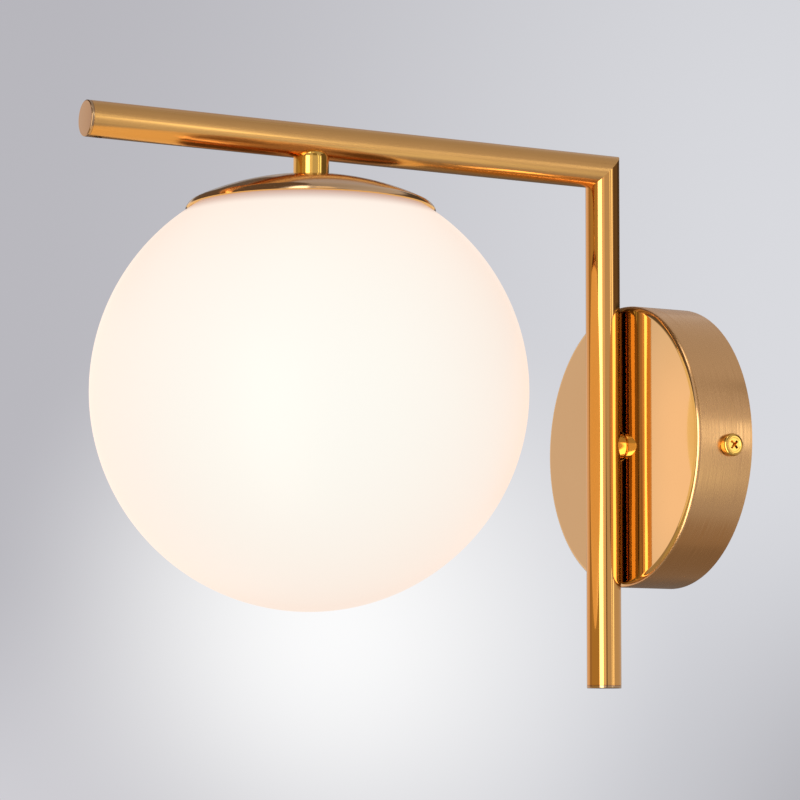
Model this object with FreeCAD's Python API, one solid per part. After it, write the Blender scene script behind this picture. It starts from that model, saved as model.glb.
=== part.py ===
import FreeCAD, Part
import math
import os

# Globe wall sconce, in millimetres.
# Frame: the wall is the plane y = 0 and the lamp stands out from it towards -Y, +Z is up.
# The origin is the middle of the bracket's back face, on the wall, level with the stem.
# Distances named "out" are measured from the wall, along -Y.

V = FreeCAD.Vector
UP = V(0, 0, 1)
DOWN = V(0, 0, -1)
OUT = V(0, -1, 0)
SIDE = V(1, 0, 0)

# Canopy cup against the wall
CANOPY_R = 50.7
CANOPY_DEPTH = 22.8
CANOPY_EDGE_R = 2.0
CANOPY_SHEET = 1.0

# Bracket strap behind the canopy
BRACKET_SHEET = 1.5
STRAP_WIDTH = 18.0
HUB_R = 31.0
EAR_DEPTH = 14.5
EAR_BEND_R = 2.5
EAR_BOSS_R = 3.4
EAR_BOSS_LENGTH = 1.5
SLOT_SPACING = 60.0
SLOT_LENGTH = 12.0
SLOT_WIDTH = 4.5
CABLE_DROP = 18.0
CABLE_BORE_R = 4.0
GROMMET_WALL = 2.0
GROMMET_LIP = 1.5
GROMMET_FLANGE = 1.2

# Side screws, M4, that hold the canopy to the bracket's ears
SIDE_SCREW_OUT = 9.2
SIDE_SCREW_DROP = 3.0
SIDE_SCREW_LENGTH = 8.0
M4_R = 2.0
M4_HEAD_R = 4.0
M4_HEAD_HEIGHT = 2.6
M4_HEAD_EDGE_R = 1.1
RECESS_SPAN = 3.9
RECESS_BLADE = 0.9
RECESS_DEPTH = 1.6

# Hollow threaded stem between canopy and upright
STEM_R = 4.0
STEM_BORE_R = 3.0
STEM_COLLAR_R = 5.4
STEM_COLLAR_EDGE_R = 0.6
FACE_GAP = 0.7
STEM_WASHER_R = 9.0
STEM_WASHER_SHEET = 1.0
STEM_NUT_FLAT = 13.0
STEM_NUT_HEIGHT = 4.0
STEM_TAIL = 1.5
STEM_LEAD = 0.4
STEM_WASHER_TEETH = 12
BUSH_FLANGE = 1.0
BUSH_WALL = 0.4
BUSH_LENGTH = 4.0

# Upright and arm, one tube size, mitred and brazed at the top corner
TUBE_R = 6.15
TUBE_WALL = 1.0
ARM_HEIGHT = 99.6
UPRIGHT_DROP = 86.8
ARM_REACH = 230.6
MITRE_EDGE_R = 1.2
PLUG_DISC = 1.0
PLUG_EDGE_R = 0.35
PLUG_SPIGOT = 9.0
PLUG_LEAD = 0.6
PLUG_SCREW_BACK = 4.4
PLUG_SCREW_R = 1.5
PLUG_SCREW_LENGTH = 3.5
PLUG_SCREW_SUNK = 0.5
HEX_KEY_FLAT = 1.5
HEX_KEY_DEPTH = 1.4

# Neck under the arm, coped to the tube, and the hollow nipple through it
HEAD_OUT = 147.1
NECK_R = 6.15
NECK_SHOULDER_R = 3.0
NECK_WIRE_HOLE_R = 3.75
NIPPLE_R = 5.0
NIPPLE_BORE_R = 3.5
NIPPLE_TOP_BELOW_ARM = 0.5
NIPPLE_TAIL = 7.0

# Domed cap over the glass
CAP_APEX_DROP = 12.36
CAP_DOME_R = 94.15
CAP_RIM_R = 43.0
CAP_LIP_R = 4.4
CAP_LIP_END_DEG = 20.0
CAP_SHEET = 0.8
CAP_NUT_FLAT = 14.0
CAP_NUT_HEIGHT = 4.0
SPACER_R = 7.5

# Opal glass globe and the bayonet ring bonded in its mouth
GLOBE_R = 75.0
GLOBE_WALL = 3.0
MOUTH_R = 36.0
BOND_WALL = 0.7
COLLAR_SHEET = 1.0
COLLAR_HEIGHT = 7.0
LUG_COUNT = 3
LUG_LENGTH = 2.3
LUG_WIDTH = 6.0
LUG_HEIGHT = 1.5
LUG_RISE = 1.8
LUG_TURN = 25.0

# Gallery ring that the bayonet turns in, clamped under the cap
GALLERY_SHEET = 1.0
GALLERY_GAP = 0.6
GALLERY_NUT_HEIGHT = 3.5
SKIRT_BELOW_LUG = 3.5
GALLERY_VENT_R = 4.0
GALLERY_VENT_CIRCLE_R = 20.5
GALLERY_VENTS = 6

# Small Edison screw lampholder, E14
HOLDER_R = 14.0
HOLDER_WALL = 1.5
HOLDER_HEIGHT = 48.0
HOLDER_NECK_R = 8.0
HOLDER_NECK_HEIGHT = 7.5
HOLDER_CAP_HEIGHT = 24.0
HOLDER_CAP_SLOPE = 3.0
SKIRT_LAP = 4.0
SKIRT_FOOT_HEIGHT = 4.5
SKIRT_LEDGE = 1.6
INSERT_DROP = 15.5
INSERT_HEIGHT = 9.0
PILLAR_SIDE = 5.0
PILLAR_HEIGHT = 6.5
PILLAR_X = 6.3
PILLAR_WIRE_X = 5.2
PILLAR_BORE_R = 1.1
PILLAR_SCREW_DROP = 3.2
PILLAR_SCREW_R = 1.3
PILLAR_SCREW_LENGTH = 4.0
SHELL_SHEET = 0.4
SHELL_FLANGE = 1.2
CONTACT_WIDTH = 4.0
CONTACT_SHEET = 0.5
CONTACT_DROP = 0.8
CONTACT_RIVET_X = 4.8
CONTACT_RIVET_R = 0.8

# Golf-ball bulb, E14
BULB_BALL_R = 22.5
BULB_LENGTH = 78.0
BULB_DOME_WALL = 1.2
BULB_BODY_R = 15.5
BULB_COLLAR_R = 8.6
BULB_COLLAR_HEIGHT = 2.0
THREAD_CREST_R = 6.9
THREAD_ROOT_R = 6.3
THREAD_PITCH = 2.82
THREAD_TURNS = 5
BULB_CONE_HEIGHT = 2.6
BULB_RING_R = 3.6
BULB_RING_HEIGHT = 1.0
BULB_TIP_R = 2.2
BULB_TIP_HEIGHT = 1.2
BULB_TIP_BRIM = 0.5
BULB_TIP_FLAT_R = 1.1

# Terminal block and earth on the bracket
BLOCK_POLES = 3
BLOCK_PITCH = 8.5
BLOCK_LENGTH = 26.0
BLOCK_DEPTH = 11.0
BLOCK_HEIGHT = 16.0
BLOCK_RISE = 9.5
BLOCK_EDGE_R = 0.8
CLAMP_WIDTH = 5.0
CLAMP_LENGTH = 13.0
CLAMP_BORE_R = 1.5
CLAMP_SCREW_SPACING = 7.3
BLOCK_SCREW_R = 1.4
BLOCK_SCREW_HEAD_R = 1.5
BLOCK_SCREW_HEAD_HEIGHT = 1.4
BLOCK_SCREW_EDGE_R = 0.55
EARTH_SIDE = 17.0
EARTH_DROP = 12.0
EARTH_BOSS_HEIGHT = 1.5
EARTH_WASHER_SHEET = 0.8
EARTH_WASHER_TEETH = 8
RING_R = 4.0
RING_SHEET = 0.8
RING_BARREL_R = 1.7
RING_BARREL_WALL = 0.5
RING_BARREL_LENGTH = 5.5

# Single insulated wires, and the bends of the two that run through the lamp
WIRE_R = 0.9
WIRE_APART = 2.0
WIRE_BLOCK_BEND_R = 6.0
WIRE_STEM_BEND_R = 15.0
WIRE_CORNER_BEND_R = 24.0
WIRE_NECK_BEND_R = 22.0
WIRE_HOLDER_BEND_R = 5.0
WIRE_EARTH_BEND_R = 5.0
WIRE_IN_BLOCK = 6.4
WIRE_BELOW_BLOCK = 1.0
WIRE_PAST_SCREW = 2.0
WIRE_ABOVE_INSERT = 3.0
EARTH_WIRE_RUN = 2.0

# Shares: small features, beside the size that each belongs to
NUT_CHAMFER = 0.6
WASHER_NOTCH = 0.14
SCREW_LEAD = 0.2
RECESS_TAPER = 0.2
RECESS_IN_HEAD = 0.7
SLOT_BLADE = 0.4
SLOT_DEPTH = 0.6
BULB_WAIST = 0.38

# Clearances
SLIP = 0.05
THREAD_CLEARANCE = 0.1
SCREW_CLEARANCE = 0.2
EAR_CLEARANCE = 0.3
GLASS_CLEARANCE = 0.3
BAYONET_CLEARANCE = 0.3
BULB_CLEARANCE = 0.3
WIRE_CLEARANCE = 0.25
WALL_CLEARANCE = 0.3
SEAT_CLEARANCE = 0.02

# Places worked out from the sizes above
UPRIGHT_OUT = CANOPY_DEPTH + FACE_GAP + TUBE_R
BORE_R = TUBE_R - TUBE_WALL
CAP_APEX_Z = ARM_HEIGHT - CAP_APEX_DROP
DOME_CENTRE_Z = CAP_APEX_Z - CAP_DOME_R
LIP_END = math.radians(CAP_LIP_END_DEG)
LIP_CENTRE_R = CAP_RIM_R - CAP_LIP_R * math.cos(LIP_END)
LIP_CENTRE_Z = DOME_CENTRE_Z + math.sqrt((CAP_DOME_R - CAP_LIP_R) ** 2 - LIP_CENTRE_R ** 2)
CAP_EDGE_R = LIP_CENTRE_R + (CAP_LIP_R - CAP_SHEET) * math.cos(LIP_END)
CAP_EDGE_Z = LIP_CENTRE_Z + (CAP_LIP_R - CAP_SHEET) * math.sin(LIP_END)
COLLAR_OUTER_R = MOUTH_R - BOND_WALL
COLLAR_INNER_R = COLLAR_OUTER_R - COLLAR_SHEET
SKIRT_R = COLLAR_INNER_R - GALLERY_GAP
SKIRT_BORE_R = SKIRT_R - GALLERY_SHEET


def dome_under_z(radius):
    """Height of the cap's inner dome at a radius from the globe's axis."""
    return DOME_CENTRE_Z + math.sqrt((CAP_DOME_R - CAP_SHEET) ** 2 - radius ** 2)


def hex_corner_r(flat):
    """Corner radius of a hexagon from its width across flats."""
    return flat / math.sqrt(3.0)


# The glass hangs clear of the cap both at the cap's inner edge and at its own mouth
RIM_GLOBE_Z = CAP_EDGE_Z - math.sqrt((GLOBE_R + GLASS_CLEARANCE) ** 2 - CAP_EDGE_R ** 2)
MOUTH_GLOBE_Z = dome_under_z(MOUTH_R) - GLASS_CLEARANCE - math.sqrt(GLOBE_R ** 2 - MOUTH_R ** 2)
GLOBE_Z = min(RIM_GLOBE_Z, MOUTH_GLOBE_Z)
MOUTH_TOP_Z = GLOBE_Z + math.sqrt(GLOBE_R ** 2 - MOUTH_R ** 2)
COLLAR_BOTTOM_Z = MOUTH_TOP_Z - COLLAR_HEIGHT
LUG_Z = COLLAR_BOTTOM_Z + LUG_RISE

PLATE_TOP_Z = dome_under_z(SKIRT_R) - BAYONET_CLEARANCE
PLATE_BOTTOM_Z = PLATE_TOP_Z - GALLERY_SHEET
CAP_NUT_TOP_Z = dome_under_z(hex_corner_r(CAP_NUT_FLAT)) - SEAT_CLEARANCE
CAP_NUT_BOTTOM_Z = CAP_NUT_TOP_Z - CAP_NUT_HEIGHT
HOLDER_TOP_Z = PLATE_BOTTOM_Z - GALLERY_NUT_HEIGHT
HOLDER_MOUTH_Z = HOLDER_TOP_Z - HOLDER_HEIGHT
SKIRT_SLEEVE_R = HOLDER_R - HOLDER_WALL - SLIP
INSERT_R = SKIRT_SLEEVE_R - HOLDER_WALL - SLIP
INSERT_TOP_Z = HOLDER_TOP_Z - INSERT_DROP
INSERT_BOTTOM_Z = INSERT_TOP_Z - INSERT_HEIGHT
PILLAR_Y = NIPPLE_BORE_R - WIRE_R - WIRE_CLEARANCE
BULB_TIP_Z = INSERT_BOTTOM_Z - CONTACT_DROP - CONTACT_SHEET - BULB_CLEARANCE
BULB_RING_Z = BULB_TIP_Z - BULB_TIP_HEIGHT - BULB_RING_HEIGHT
THREAD_TOP_Z = BULB_RING_Z - BULB_CONE_HEIGHT
THREAD_BOTTOM_Z = THREAD_TOP_Z - THREAD_TURNS * THREAD_PITCH
BULB_TOP_Z = HOLDER_MOUTH_Z - THREAD_PITCH / 2
BULB_BALL_Z = BULB_TIP_Z - BULB_LENGTH + BULB_BALL_R
BULB_SEAM_Z = BULB_BALL_Z + math.sqrt(BULB_BALL_R ** 2 - BULB_BODY_R ** 2)
NUT_SEAT_OUT = CANOPY_DEPTH - CANOPY_SHEET - STEM_WASHER_SHEET
STEM_END_OUT = NUT_SEAT_OUT - STEM_NUT_HEIGHT - STEM_TAIL
EAR_HALF_WIDTH = STRAP_WIDTH / 2
CANOPY_BORE_R = CANOPY_R - CANOPY_SHEET
EAR_X = math.sqrt(CANOPY_BORE_R ** 2 - EAR_HALF_WIDTH ** 2) - EAR_CLEARANCE
CLAMP_OUT = BRACKET_SHEET + BLOCK_DEPTH / 2
EARTH_RING_OUT = BRACKET_SHEET + EARTH_BOSS_HEIGHT + EARTH_WASHER_SHEET


def outline(start, *steps):
    """A closed flat face in the XZ plane. A step is an end point, or (mid point, end point) for an arc."""
    edges = []
    here = V(start[0], 0, start[1])
    for step in steps + (start,):
        if isinstance(step[0], tuple):
            mid = V(step[0][0], 0, step[0][1])
            end = V(step[1][0], 0, step[1][1])
            edges.append(Part.Arc(here, mid, end).toShape())
        else:
            end = V(step[0], 0, step[1])
            if end.distanceToPoint(here) < 1e-7:
                continue
            edges.append(Part.LineSegment(here, end).toShape())
        here = end
    return Part.Face(Part.Wire(edges))


def arc_to(centre, radius, start_deg, end_deg):
    """Arc step for an outline, about a centre, between two angles from +X towards +Z."""
    points = []
    for angle in ((start_deg + end_deg) / 2, end_deg):
        turn = math.radians(angle)
        points.append((centre[0] + radius * math.cos(turn), centre[1] + radius * math.sin(turn)))
    return (points[0], points[1])


def angle_of(centre, point):
    """Angle in degrees from a centre to a point of an outline."""
    return math.degrees(math.atan2(point[1] - centre[1], point[0] - centre[0]))


def turned(start, *steps):
    """Solid of revolution about the Z axis, from a half section drawn as (radius, height)."""
    return outline(start, *steps).revolve(V(0, 0, 0), UP, 360)


def outward(shape):
    """Turn a shape drawn along +Z so that it points out from the wall."""
    shape.rotate(V(0, 0, 0), SIDE, 90)
    return shape


def over_head(shape):
    """Move a shape drawn about the Z axis onto the globe's axis."""
    shape.translate(V(0, -HEAD_OUT, 0))
    return shape


def hex_prism(flat, height):
    """Hexagonal prism from z = 0 up, from its width across flats."""
    corner = hex_corner_r(flat)
    points = [V(corner * math.cos(math.radians(60 * i)), corner * math.sin(math.radians(60 * i)), 0)
              for i in range(7)]
    return Part.Face(Part.makePolygon(points)).extrude(V(0, 0, height))


def hex_nut(flat, height, bore_r):
    """Hexagon nut from z = 0 up, with its outer corners turned off."""
    corner = hex_corner_r(flat)
    chamfer = (corner - flat / 2) * NUT_CHAMFER
    blank = turned((0, 0), (corner - chamfer, 0), (corner, chamfer), (corner, height - chamfer),
                   (corner - chamfer, height), (0, height))
    return hex_prism(flat, height).common(blank).cut(Part.makeCylinder(bore_r, height))


def washer(outer_r, bore_r, sheet):
    """Flat ring from z = 0 up."""
    return Part.makeCylinder(outer_r, sheet).cut(Part.makeCylinder(bore_r, sheet))


def toothed_washer(outer_r, bore_r, sheet, teeth):
    """Flat ring from z = 0 up with a notched edge."""
    ring = washer(outer_r, bore_r, sheet)
    for i in range(teeth):
        notch = Part.makeCylinder(outer_r * WASHER_NOTCH, sheet, V(outer_r, 0, 0))
        notch.rotate(V(0, 0, 0), UP, 360.0 * i / teeth)
        ring = ring.cut(notch)
    return ring


def pan_screw(shank_r, shank_length, head_r, head_height, edge_r):
    """Pan head screw with its head from z = 0 up, its shank below, and a cross recess."""
    lead = shank_r * SCREW_LEAD
    edge = (head_r - edge_r, head_height - edge_r)
    body = turned((0, -shank_length), (shank_r - lead, -shank_length), (shank_r, 2 * lead - shank_length),
                  (shank_r, 0), (head_r, 0), (head_r, edge[1]), arc_to(edge, edge_r, 0, 90),
                  (0, head_height))
    span = RECESS_SPAN * head_r / M4_HEAD_R
    blade = RECESS_BLADE * head_r / M4_HEAD_R
    depth = min(RECESS_DEPTH * head_r / M4_HEAD_R, head_height * RECESS_IN_HEAD)
    taper = span * RECESS_TAPER
    for angle in (45, 135):
        wing = outline((-span / 2, head_height), (-span / 2 + taper, head_height - depth),
                       (span / 2 - taper, head_height - depth), (span / 2, head_height))
        wing.translate(V(0, -blade / 2, 0))
        cut = wing.extrude(V(0, blade, 0))
        cut.rotate(V(0, 0, 0), UP, angle)
        body = body.cut(cut)
    return body


def slotted_stud(radius, length):
    """Headless screw from z = 0 up, with a driver slot across its top."""
    lead = radius * SCREW_LEAD
    blade = radius * SLOT_BLADE
    depth = radius * SLOT_DEPTH
    screw = turned((0, 0), (radius - lead, 0), (radius, lead), (radius, length), (0, length))
    return screw.cut(Part.makeBox(2 * radius, blade, depth, V(-radius, -blade / 2, length - depth)))


def slot_cutter(length, width, depth):
    """Rounded slot along X, centred on the origin, cut from z = 0 up."""
    half = length / 2 - width / 2
    bar = Part.makeBox(2 * half, width, depth, V(-half, -width / 2, 0))
    for end in (-half, half):
        bar = bar.fuse(Part.makeCylinder(width / 2, depth, V(end, 0, 0)))
    return bar.removeSplitter()


def arm_form(radius):
    """The arm's round form, at a radius, from the mitre to past its tip."""
    return Part.makeCylinder(radius, ARM_REACH, V(0, -UPRIGHT_OUT, ARM_HEIGHT), OUT)


def canopy_cup():
    """Round cup, open to the wall, with a rounded front edge, stem hole and two side holes."""
    inner_edge_r = CANOPY_EDGE_R - CANOPY_SHEET
    edge_centre = (CANOPY_R - CANOPY_EDGE_R, CANOPY_DEPTH - CANOPY_EDGE_R)
    hole_r = STEM_R + THREAD_CLEARANCE
    cup = turned((CANOPY_R, 0), (CANOPY_R, edge_centre[1]), arc_to(edge_centre, CANOPY_EDGE_R, 0, 90),
                 (hole_r, CANOPY_DEPTH), (hole_r, CANOPY_DEPTH - CANOPY_SHEET),
                 (edge_centre[0], CANOPY_DEPTH - CANOPY_SHEET), arc_to(edge_centre, inner_edge_r, 90, 0),
                 (CANOPY_BORE_R, 0))
    cup = outward(cup)
    hole = Part.makeCylinder(M4_R + SCREW_CLEARANCE, 4 * CANOPY_R,
                             V(-2 * CANOPY_R, -SIDE_SCREW_OUT, -SIDE_SCREW_DROP), SIDE)
    return cup.cut(hole)


def wall_bracket():
    """Pressed strap with a round hub, two wall slots, bent ears with tapped bosses and a cable hole."""
    bend_inner_r = EAR_BEND_R - BRACKET_SHEET
    bend = (EAR_X - EAR_BEND_R, EAR_BEND_R)
    section = outline((0, 0), (bend[0], 0), arc_to(bend, EAR_BEND_R, -90, 0), (EAR_X, EAR_DEPTH),
                      (EAR_X - BRACKET_SHEET, EAR_DEPTH), (EAR_X - BRACKET_SHEET, EAR_BEND_R),
                      arc_to(bend, bend_inner_r, 0, -90), (0, BRACKET_SHEET))
    half = section.extrude(V(0, STRAP_WIDTH, 0))
    half.translate(V(0, -STRAP_WIDTH / 2, 0))
    boss_x = EAR_X - BRACKET_SHEET - EAR_BOSS_LENGTH
    side_screw = V(0, -SIDE_SCREW_DROP, SIDE_SCREW_OUT)
    half = half.fuse(Part.makeCylinder(EAR_BOSS_R, EAR_BOSS_LENGTH, side_screw + SIDE * boss_x, SIDE))
    earth = V(EARTH_SIDE, -EARTH_DROP, 0)
    earth_boss = Part.makeCylinder(EAR_BOSS_R, BRACKET_SHEET + EARTH_BOSS_HEIGHT, earth)
    plate = half.fuse([half.mirror(V(0, 0, 0), SIDE), Part.makeCylinder(HUB_R, BRACKET_SHEET), earth_boss])
    plate = plate.removeSplitter()
    tap_r = M4_R + THREAD_CLEARANCE
    plate = plate.cut(Part.makeCylinder(tap_r, 4 * EAR_X, side_screw - SIDE * (2 * EAR_X), SIDE))
    plate = plate.cut(Part.makeCylinder(tap_r, BRACKET_SHEET + EARTH_BOSS_HEIGHT, earth))
    for side in (-1, 1):
        slot = slot_cutter(SLOT_LENGTH, SLOT_WIDTH, BRACKET_SHEET)
        slot.translate(V(side * SLOT_SPACING / 2, 0, 0))
        plate = plate.cut(slot)
        place = V(side * BLOCK_PITCH / 2, BLOCK_RISE + BLOCK_HEIGHT / 2, 0)
        plate = plate.cut(Part.makeCylinder(BLOCK_SCREW_R + THREAD_CLEARANCE, BRACKET_SHEET, place))
    plate = plate.cut(Part.makeCylinder(CABLE_BORE_R + GROMMET_WALL, BRACKET_SHEET, V(0, -CABLE_DROP, 0)))
    return outward(plate)


def cable_grommet():
    """Rubber grommet in the cable hole, flat on the wall side and with a rounded lip inside."""
    neck_r = CABLE_BORE_R + GROMMET_WALL
    lip_r = neck_r + GROMMET_LIP
    top = BRACKET_SHEET + GROMMET_FLANGE
    ring = turned((CABLE_BORE_R, 0), (neck_r, 0), (neck_r, BRACKET_SHEET), (lip_r, BRACKET_SHEET),
                  arc_to((lip_r - GROMMET_FLANGE, BRACKET_SHEET), GROMMET_FLANGE, 0, 90),
                  (CABLE_BORE_R, top))
    ring.translate(V(0, -CABLE_DROP, 0))
    return outward(ring)


def canopy_side_screws():
    """Two M4 pan head screws through the canopy's side into the bracket's ears."""
    screw = pan_screw(M4_R, SIDE_SCREW_LENGTH, M4_HEAD_R, M4_HEAD_HEIGHT, M4_HEAD_EDGE_R)
    screw.rotate(V(0, 0, 0), V(0, 1, 0), 90)
    screw.translate(V(CANOPY_R + SEAT_CLEARANCE, -SIDE_SCREW_OUT, -SIDE_SCREW_DROP))
    return Part.makeCompound([screw, screw.mirror(V(0, 0, 0), SIDE)])


def stem_stud():
    """Hollow M8 stud from inside the canopy into the upright, its end shaped to the tube's bore."""
    reach = UPRIGHT_OUT - STEM_END_OUT
    stud = turned((STEM_BORE_R, 0), (STEM_R - STEM_LEAD, 0), (STEM_R, STEM_LEAD), (STEM_R, reach),
                  (STEM_BORE_R, reach))
    stud.translate(V(0, 0, STEM_END_OUT))
    stud = outward(stud)
    inside = Part.makeCylinder(BORE_R, 4 * STEM_R, V(0, -UPRIGHT_OUT, -2 * STEM_R))
    return stud.cut(inside)


def stem_collar():
    """Round collar on the stem, flat on the canopy and saddled to the upright."""
    bore_r = STEM_R + SLIP
    edge = (STEM_COLLAR_R - STEM_COLLAR_EDGE_R, STEM_COLLAR_EDGE_R)
    ring = turned((bore_r, 0), (edge[0], 0), arc_to(edge, STEM_COLLAR_EDGE_R, -90, 0),
                  (STEM_COLLAR_R, FACE_GAP + TUBE_R), (bore_r, FACE_GAP + TUBE_R))
    ring.translate(V(0, 0, CANOPY_DEPTH))
    ring = outward(ring)
    tube = Part.makeCylinder(TUBE_R, 4 * STEM_COLLAR_R, V(0, -UPRIGHT_OUT, -2 * STEM_COLLAR_R))
    return ring.cut(tube)


def stem_washer():
    """Toothed washer on the stem, inside the canopy."""
    ring = toothed_washer(STEM_WASHER_R, STEM_R + THREAD_CLEARANCE, STEM_WASHER_SHEET,
                          STEM_WASHER_TEETH)
    ring.translate(V(0, 0, NUT_SEAT_OUT))
    return outward(ring)


def stem_nut():
    """Hexagon nut that holds the stem in the canopy."""
    nut = hex_nut(STEM_NUT_FLAT, STEM_NUT_HEIGHT, STEM_R + THREAD_CLEARANCE)
    nut.translate(V(0, 0, NUT_SEAT_OUT - STEM_NUT_HEIGHT))
    return outward(nut)


def stem_bush():
    """Plastic bush pushed into the stem's inner end, where the wires go in."""
    outer_r = STEM_BORE_R - SLIP
    bore_r = outer_r - BUSH_WALL
    edge_r = BUSH_FLANGE / 2
    bush = turned((bore_r, 0), (STEM_R - edge_r, 0), arc_to((STEM_R - edge_r, edge_r), edge_r, -90, 0),
                  (STEM_R, BUSH_FLANGE), (outer_r, BUSH_FLANGE), (outer_r, BUSH_LENGTH),
                  (bore_r, BUSH_LENGTH))
    bush.translate(V(0, 0, STEM_END_OUT - BUSH_FLANGE))
    return outward(bush)


def corner_block():
    """Space under the corner's mitre, with the outer corner rounded."""
    far = 2 * (ARM_REACH + UPRIGHT_DROP + ARM_HEIGHT)
    back = TUBE_R - UPRIGHT_OUT
    top = ARM_HEIGHT + TUBE_R
    centre = V(0, back - MITRE_EDGE_R, top - MITRE_EDGE_R)
    crown, turn, side = [centre + V(0, math.cos(angle), math.sin(angle)) * MITRE_EDGE_R
                         for angle in (math.pi / 4, math.pi / 8, 0)]
    under = V(0, back, top - far)
    low = V(0, back - far, top - far)
    edges = [Part.LineSegment(low, crown).toShape(), Part.Arc(crown, turn, side).toShape(),
             Part.LineSegment(side, under).toShape(), Part.LineSegment(under, low).toShape()]
    block = Part.Face(Part.Wire(edges)).extrude(V(4 * TUBE_R, 0, 0))
    block.translate(V(-2 * TUBE_R, 0, 0))
    return block


def upright_tube():
    """Vertical tube, mitred at its top, with a hole for the stem at the back."""
    bottom = PLUG_DISC - UPRIGHT_DROP
    height = ARM_HEIGHT + TUBE_R - bottom
    foot = V(0, -UPRIGHT_OUT, bottom)
    tube = Part.makeCylinder(TUBE_R, height, foot).common(corner_block())
    tube = tube.cut(Part.makeCylinder(BORE_R, height, foot))
    tube = tube.cut(arm_form(BORE_R))
    return tube.cut(Part.makeCylinder(STEM_R, 2 * TUBE_R, V(0, 2 * TUBE_R - UPRIGHT_OUT, 0), OUT))


def arm_tube():
    """Horizontal tube, mitred at the wall end, with a wire hole over the neck and a screw hole."""
    start = V(0, TUBE_R - UPRIGHT_OUT, ARM_HEIGHT)
    length = ARM_REACH - PLUG_DISC - UPRIGHT_OUT + TUBE_R
    corner = corner_block().mirror(V(0, -UPRIGHT_OUT, ARM_HEIGHT), V(0, 1, -1))
    tube = Part.makeCylinder(TUBE_R, length, start, OUT).common(corner)
    tube = tube.cut(Part.makeCylinder(BORE_R, length, start, OUT))
    tube = tube.cut(Part.makeCylinder(BORE_R, ARM_HEIGHT, V(0, -UPRIGHT_OUT, 0)))
    tube = tube.cut(Part.makeCylinder(NECK_WIRE_HOLE_R, 2 * TUBE_R, V(0, -HEAD_OUT, ARM_HEIGHT), DOWN))
    screw = V(0, PLUG_SCREW_BACK - ARM_REACH, ARM_HEIGHT)
    return tube.cut(Part.makeCylinder(PLUG_SCREW_R + THREAD_CLEARANCE, 2 * TUBE_R, screw, DOWN))


def end_plug():
    """Turned plug from z = 0 up: a disc as wide as the tube and a spigot that fits its bore."""
    spigot_r = BORE_R - SLIP
    top = PLUG_DISC + PLUG_SPIGOT
    edge = (TUBE_R - PLUG_EDGE_R, PLUG_EDGE_R)
    return turned((0, 0), (edge[0], 0), arc_to(edge, PLUG_EDGE_R, -90, 0), (TUBE_R, PLUG_DISC),
                  (spigot_r, PLUG_DISC), (spigot_r, top - PLUG_LEAD), (spigot_r - PLUG_LEAD, top),
                  (0, top))


def upright_end_plug():
    """Plug pressed into the upright's lower end."""
    plug = end_plug()
    plug.translate(V(0, -UPRIGHT_OUT, -UPRIGHT_DROP))
    return plug


def arm_end_plug():
    """Plug in the arm's tip, tapped from below for its screw."""
    plug = end_plug()
    plug.rotate(V(0, 0, 0), SIDE, -90)
    plug.translate(V(0, -ARM_REACH, ARM_HEIGHT))
    deep = PLUG_SCREW_LENGTH + PLUG_SCREW_SUNK
    return plug.cut(Part.makeCylinder(PLUG_SCREW_R + THREAD_CLEARANCE, deep,
                                      V(0, PLUG_SCREW_BACK - ARM_REACH, ARM_HEIGHT - TUBE_R)))


def arm_plug_screw():
    """Grub screw with a hexagon socket, just below the tube's surface near the tip."""
    foot = V(0, PLUG_SCREW_BACK - ARM_REACH, ARM_HEIGHT - TUBE_R + PLUG_SCREW_SUNK)
    lead = PLUG_SCREW_R * SCREW_LEAD
    screw = turned((0, 0), (PLUG_SCREW_R - lead, 0), (PLUG_SCREW_R, lead),
                   (PLUG_SCREW_R, PLUG_SCREW_LENGTH - lead), (PLUG_SCREW_R - lead, PLUG_SCREW_LENGTH),
                   (0, PLUG_SCREW_LENGTH))
    screw = screw.cut(hex_prism(HEX_KEY_FLAT, HEX_KEY_DEPTH))
    screw.translate(foot)
    return screw


def neck_boss():
    """Short hollow neck: its top is coped to the arm and rounded over, its foot follows the cap's dome."""
    shoulder_z = ARM_HEIGHT - TUBE_R
    foot_z = DOME_CENTRE_Z
    neck = turned((0, foot_z), (NECK_R, foot_z), (NECK_R, shoulder_z),
                  arc_to((NECK_R - NECK_SHOULDER_R, shoulder_z), NECK_SHOULDER_R, 0, 90),
                  (0, shoulder_z + NECK_SHOULDER_R))
    neck = neck.cut(Part.makeSphere(CAP_DOME_R, V(0, 0, DOME_CENTRE_Z)))
    neck = neck.cut(Part.makeCylinder(NIPPLE_R + SLIP, 2 * CAP_DOME_R, V(0, 0, foot_z)))
    return over_head(neck).cut(arm_form(TUBE_R))


def head_nipple():
    """Hollow M10 nipple that carries cap, gallery and lampholder under the arm."""
    top_z = ARM_HEIGHT - TUBE_R - NIPPLE_TOP_BELOW_ARM
    bottom_z = HOLDER_TOP_Z - NIPPLE_TAIL
    return over_head(turned((NIPPLE_BORE_R, bottom_z), (NIPPLE_R, bottom_z), (NIPPLE_R, top_z),
                            (NIPPLE_BORE_R, top_z)))


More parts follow.
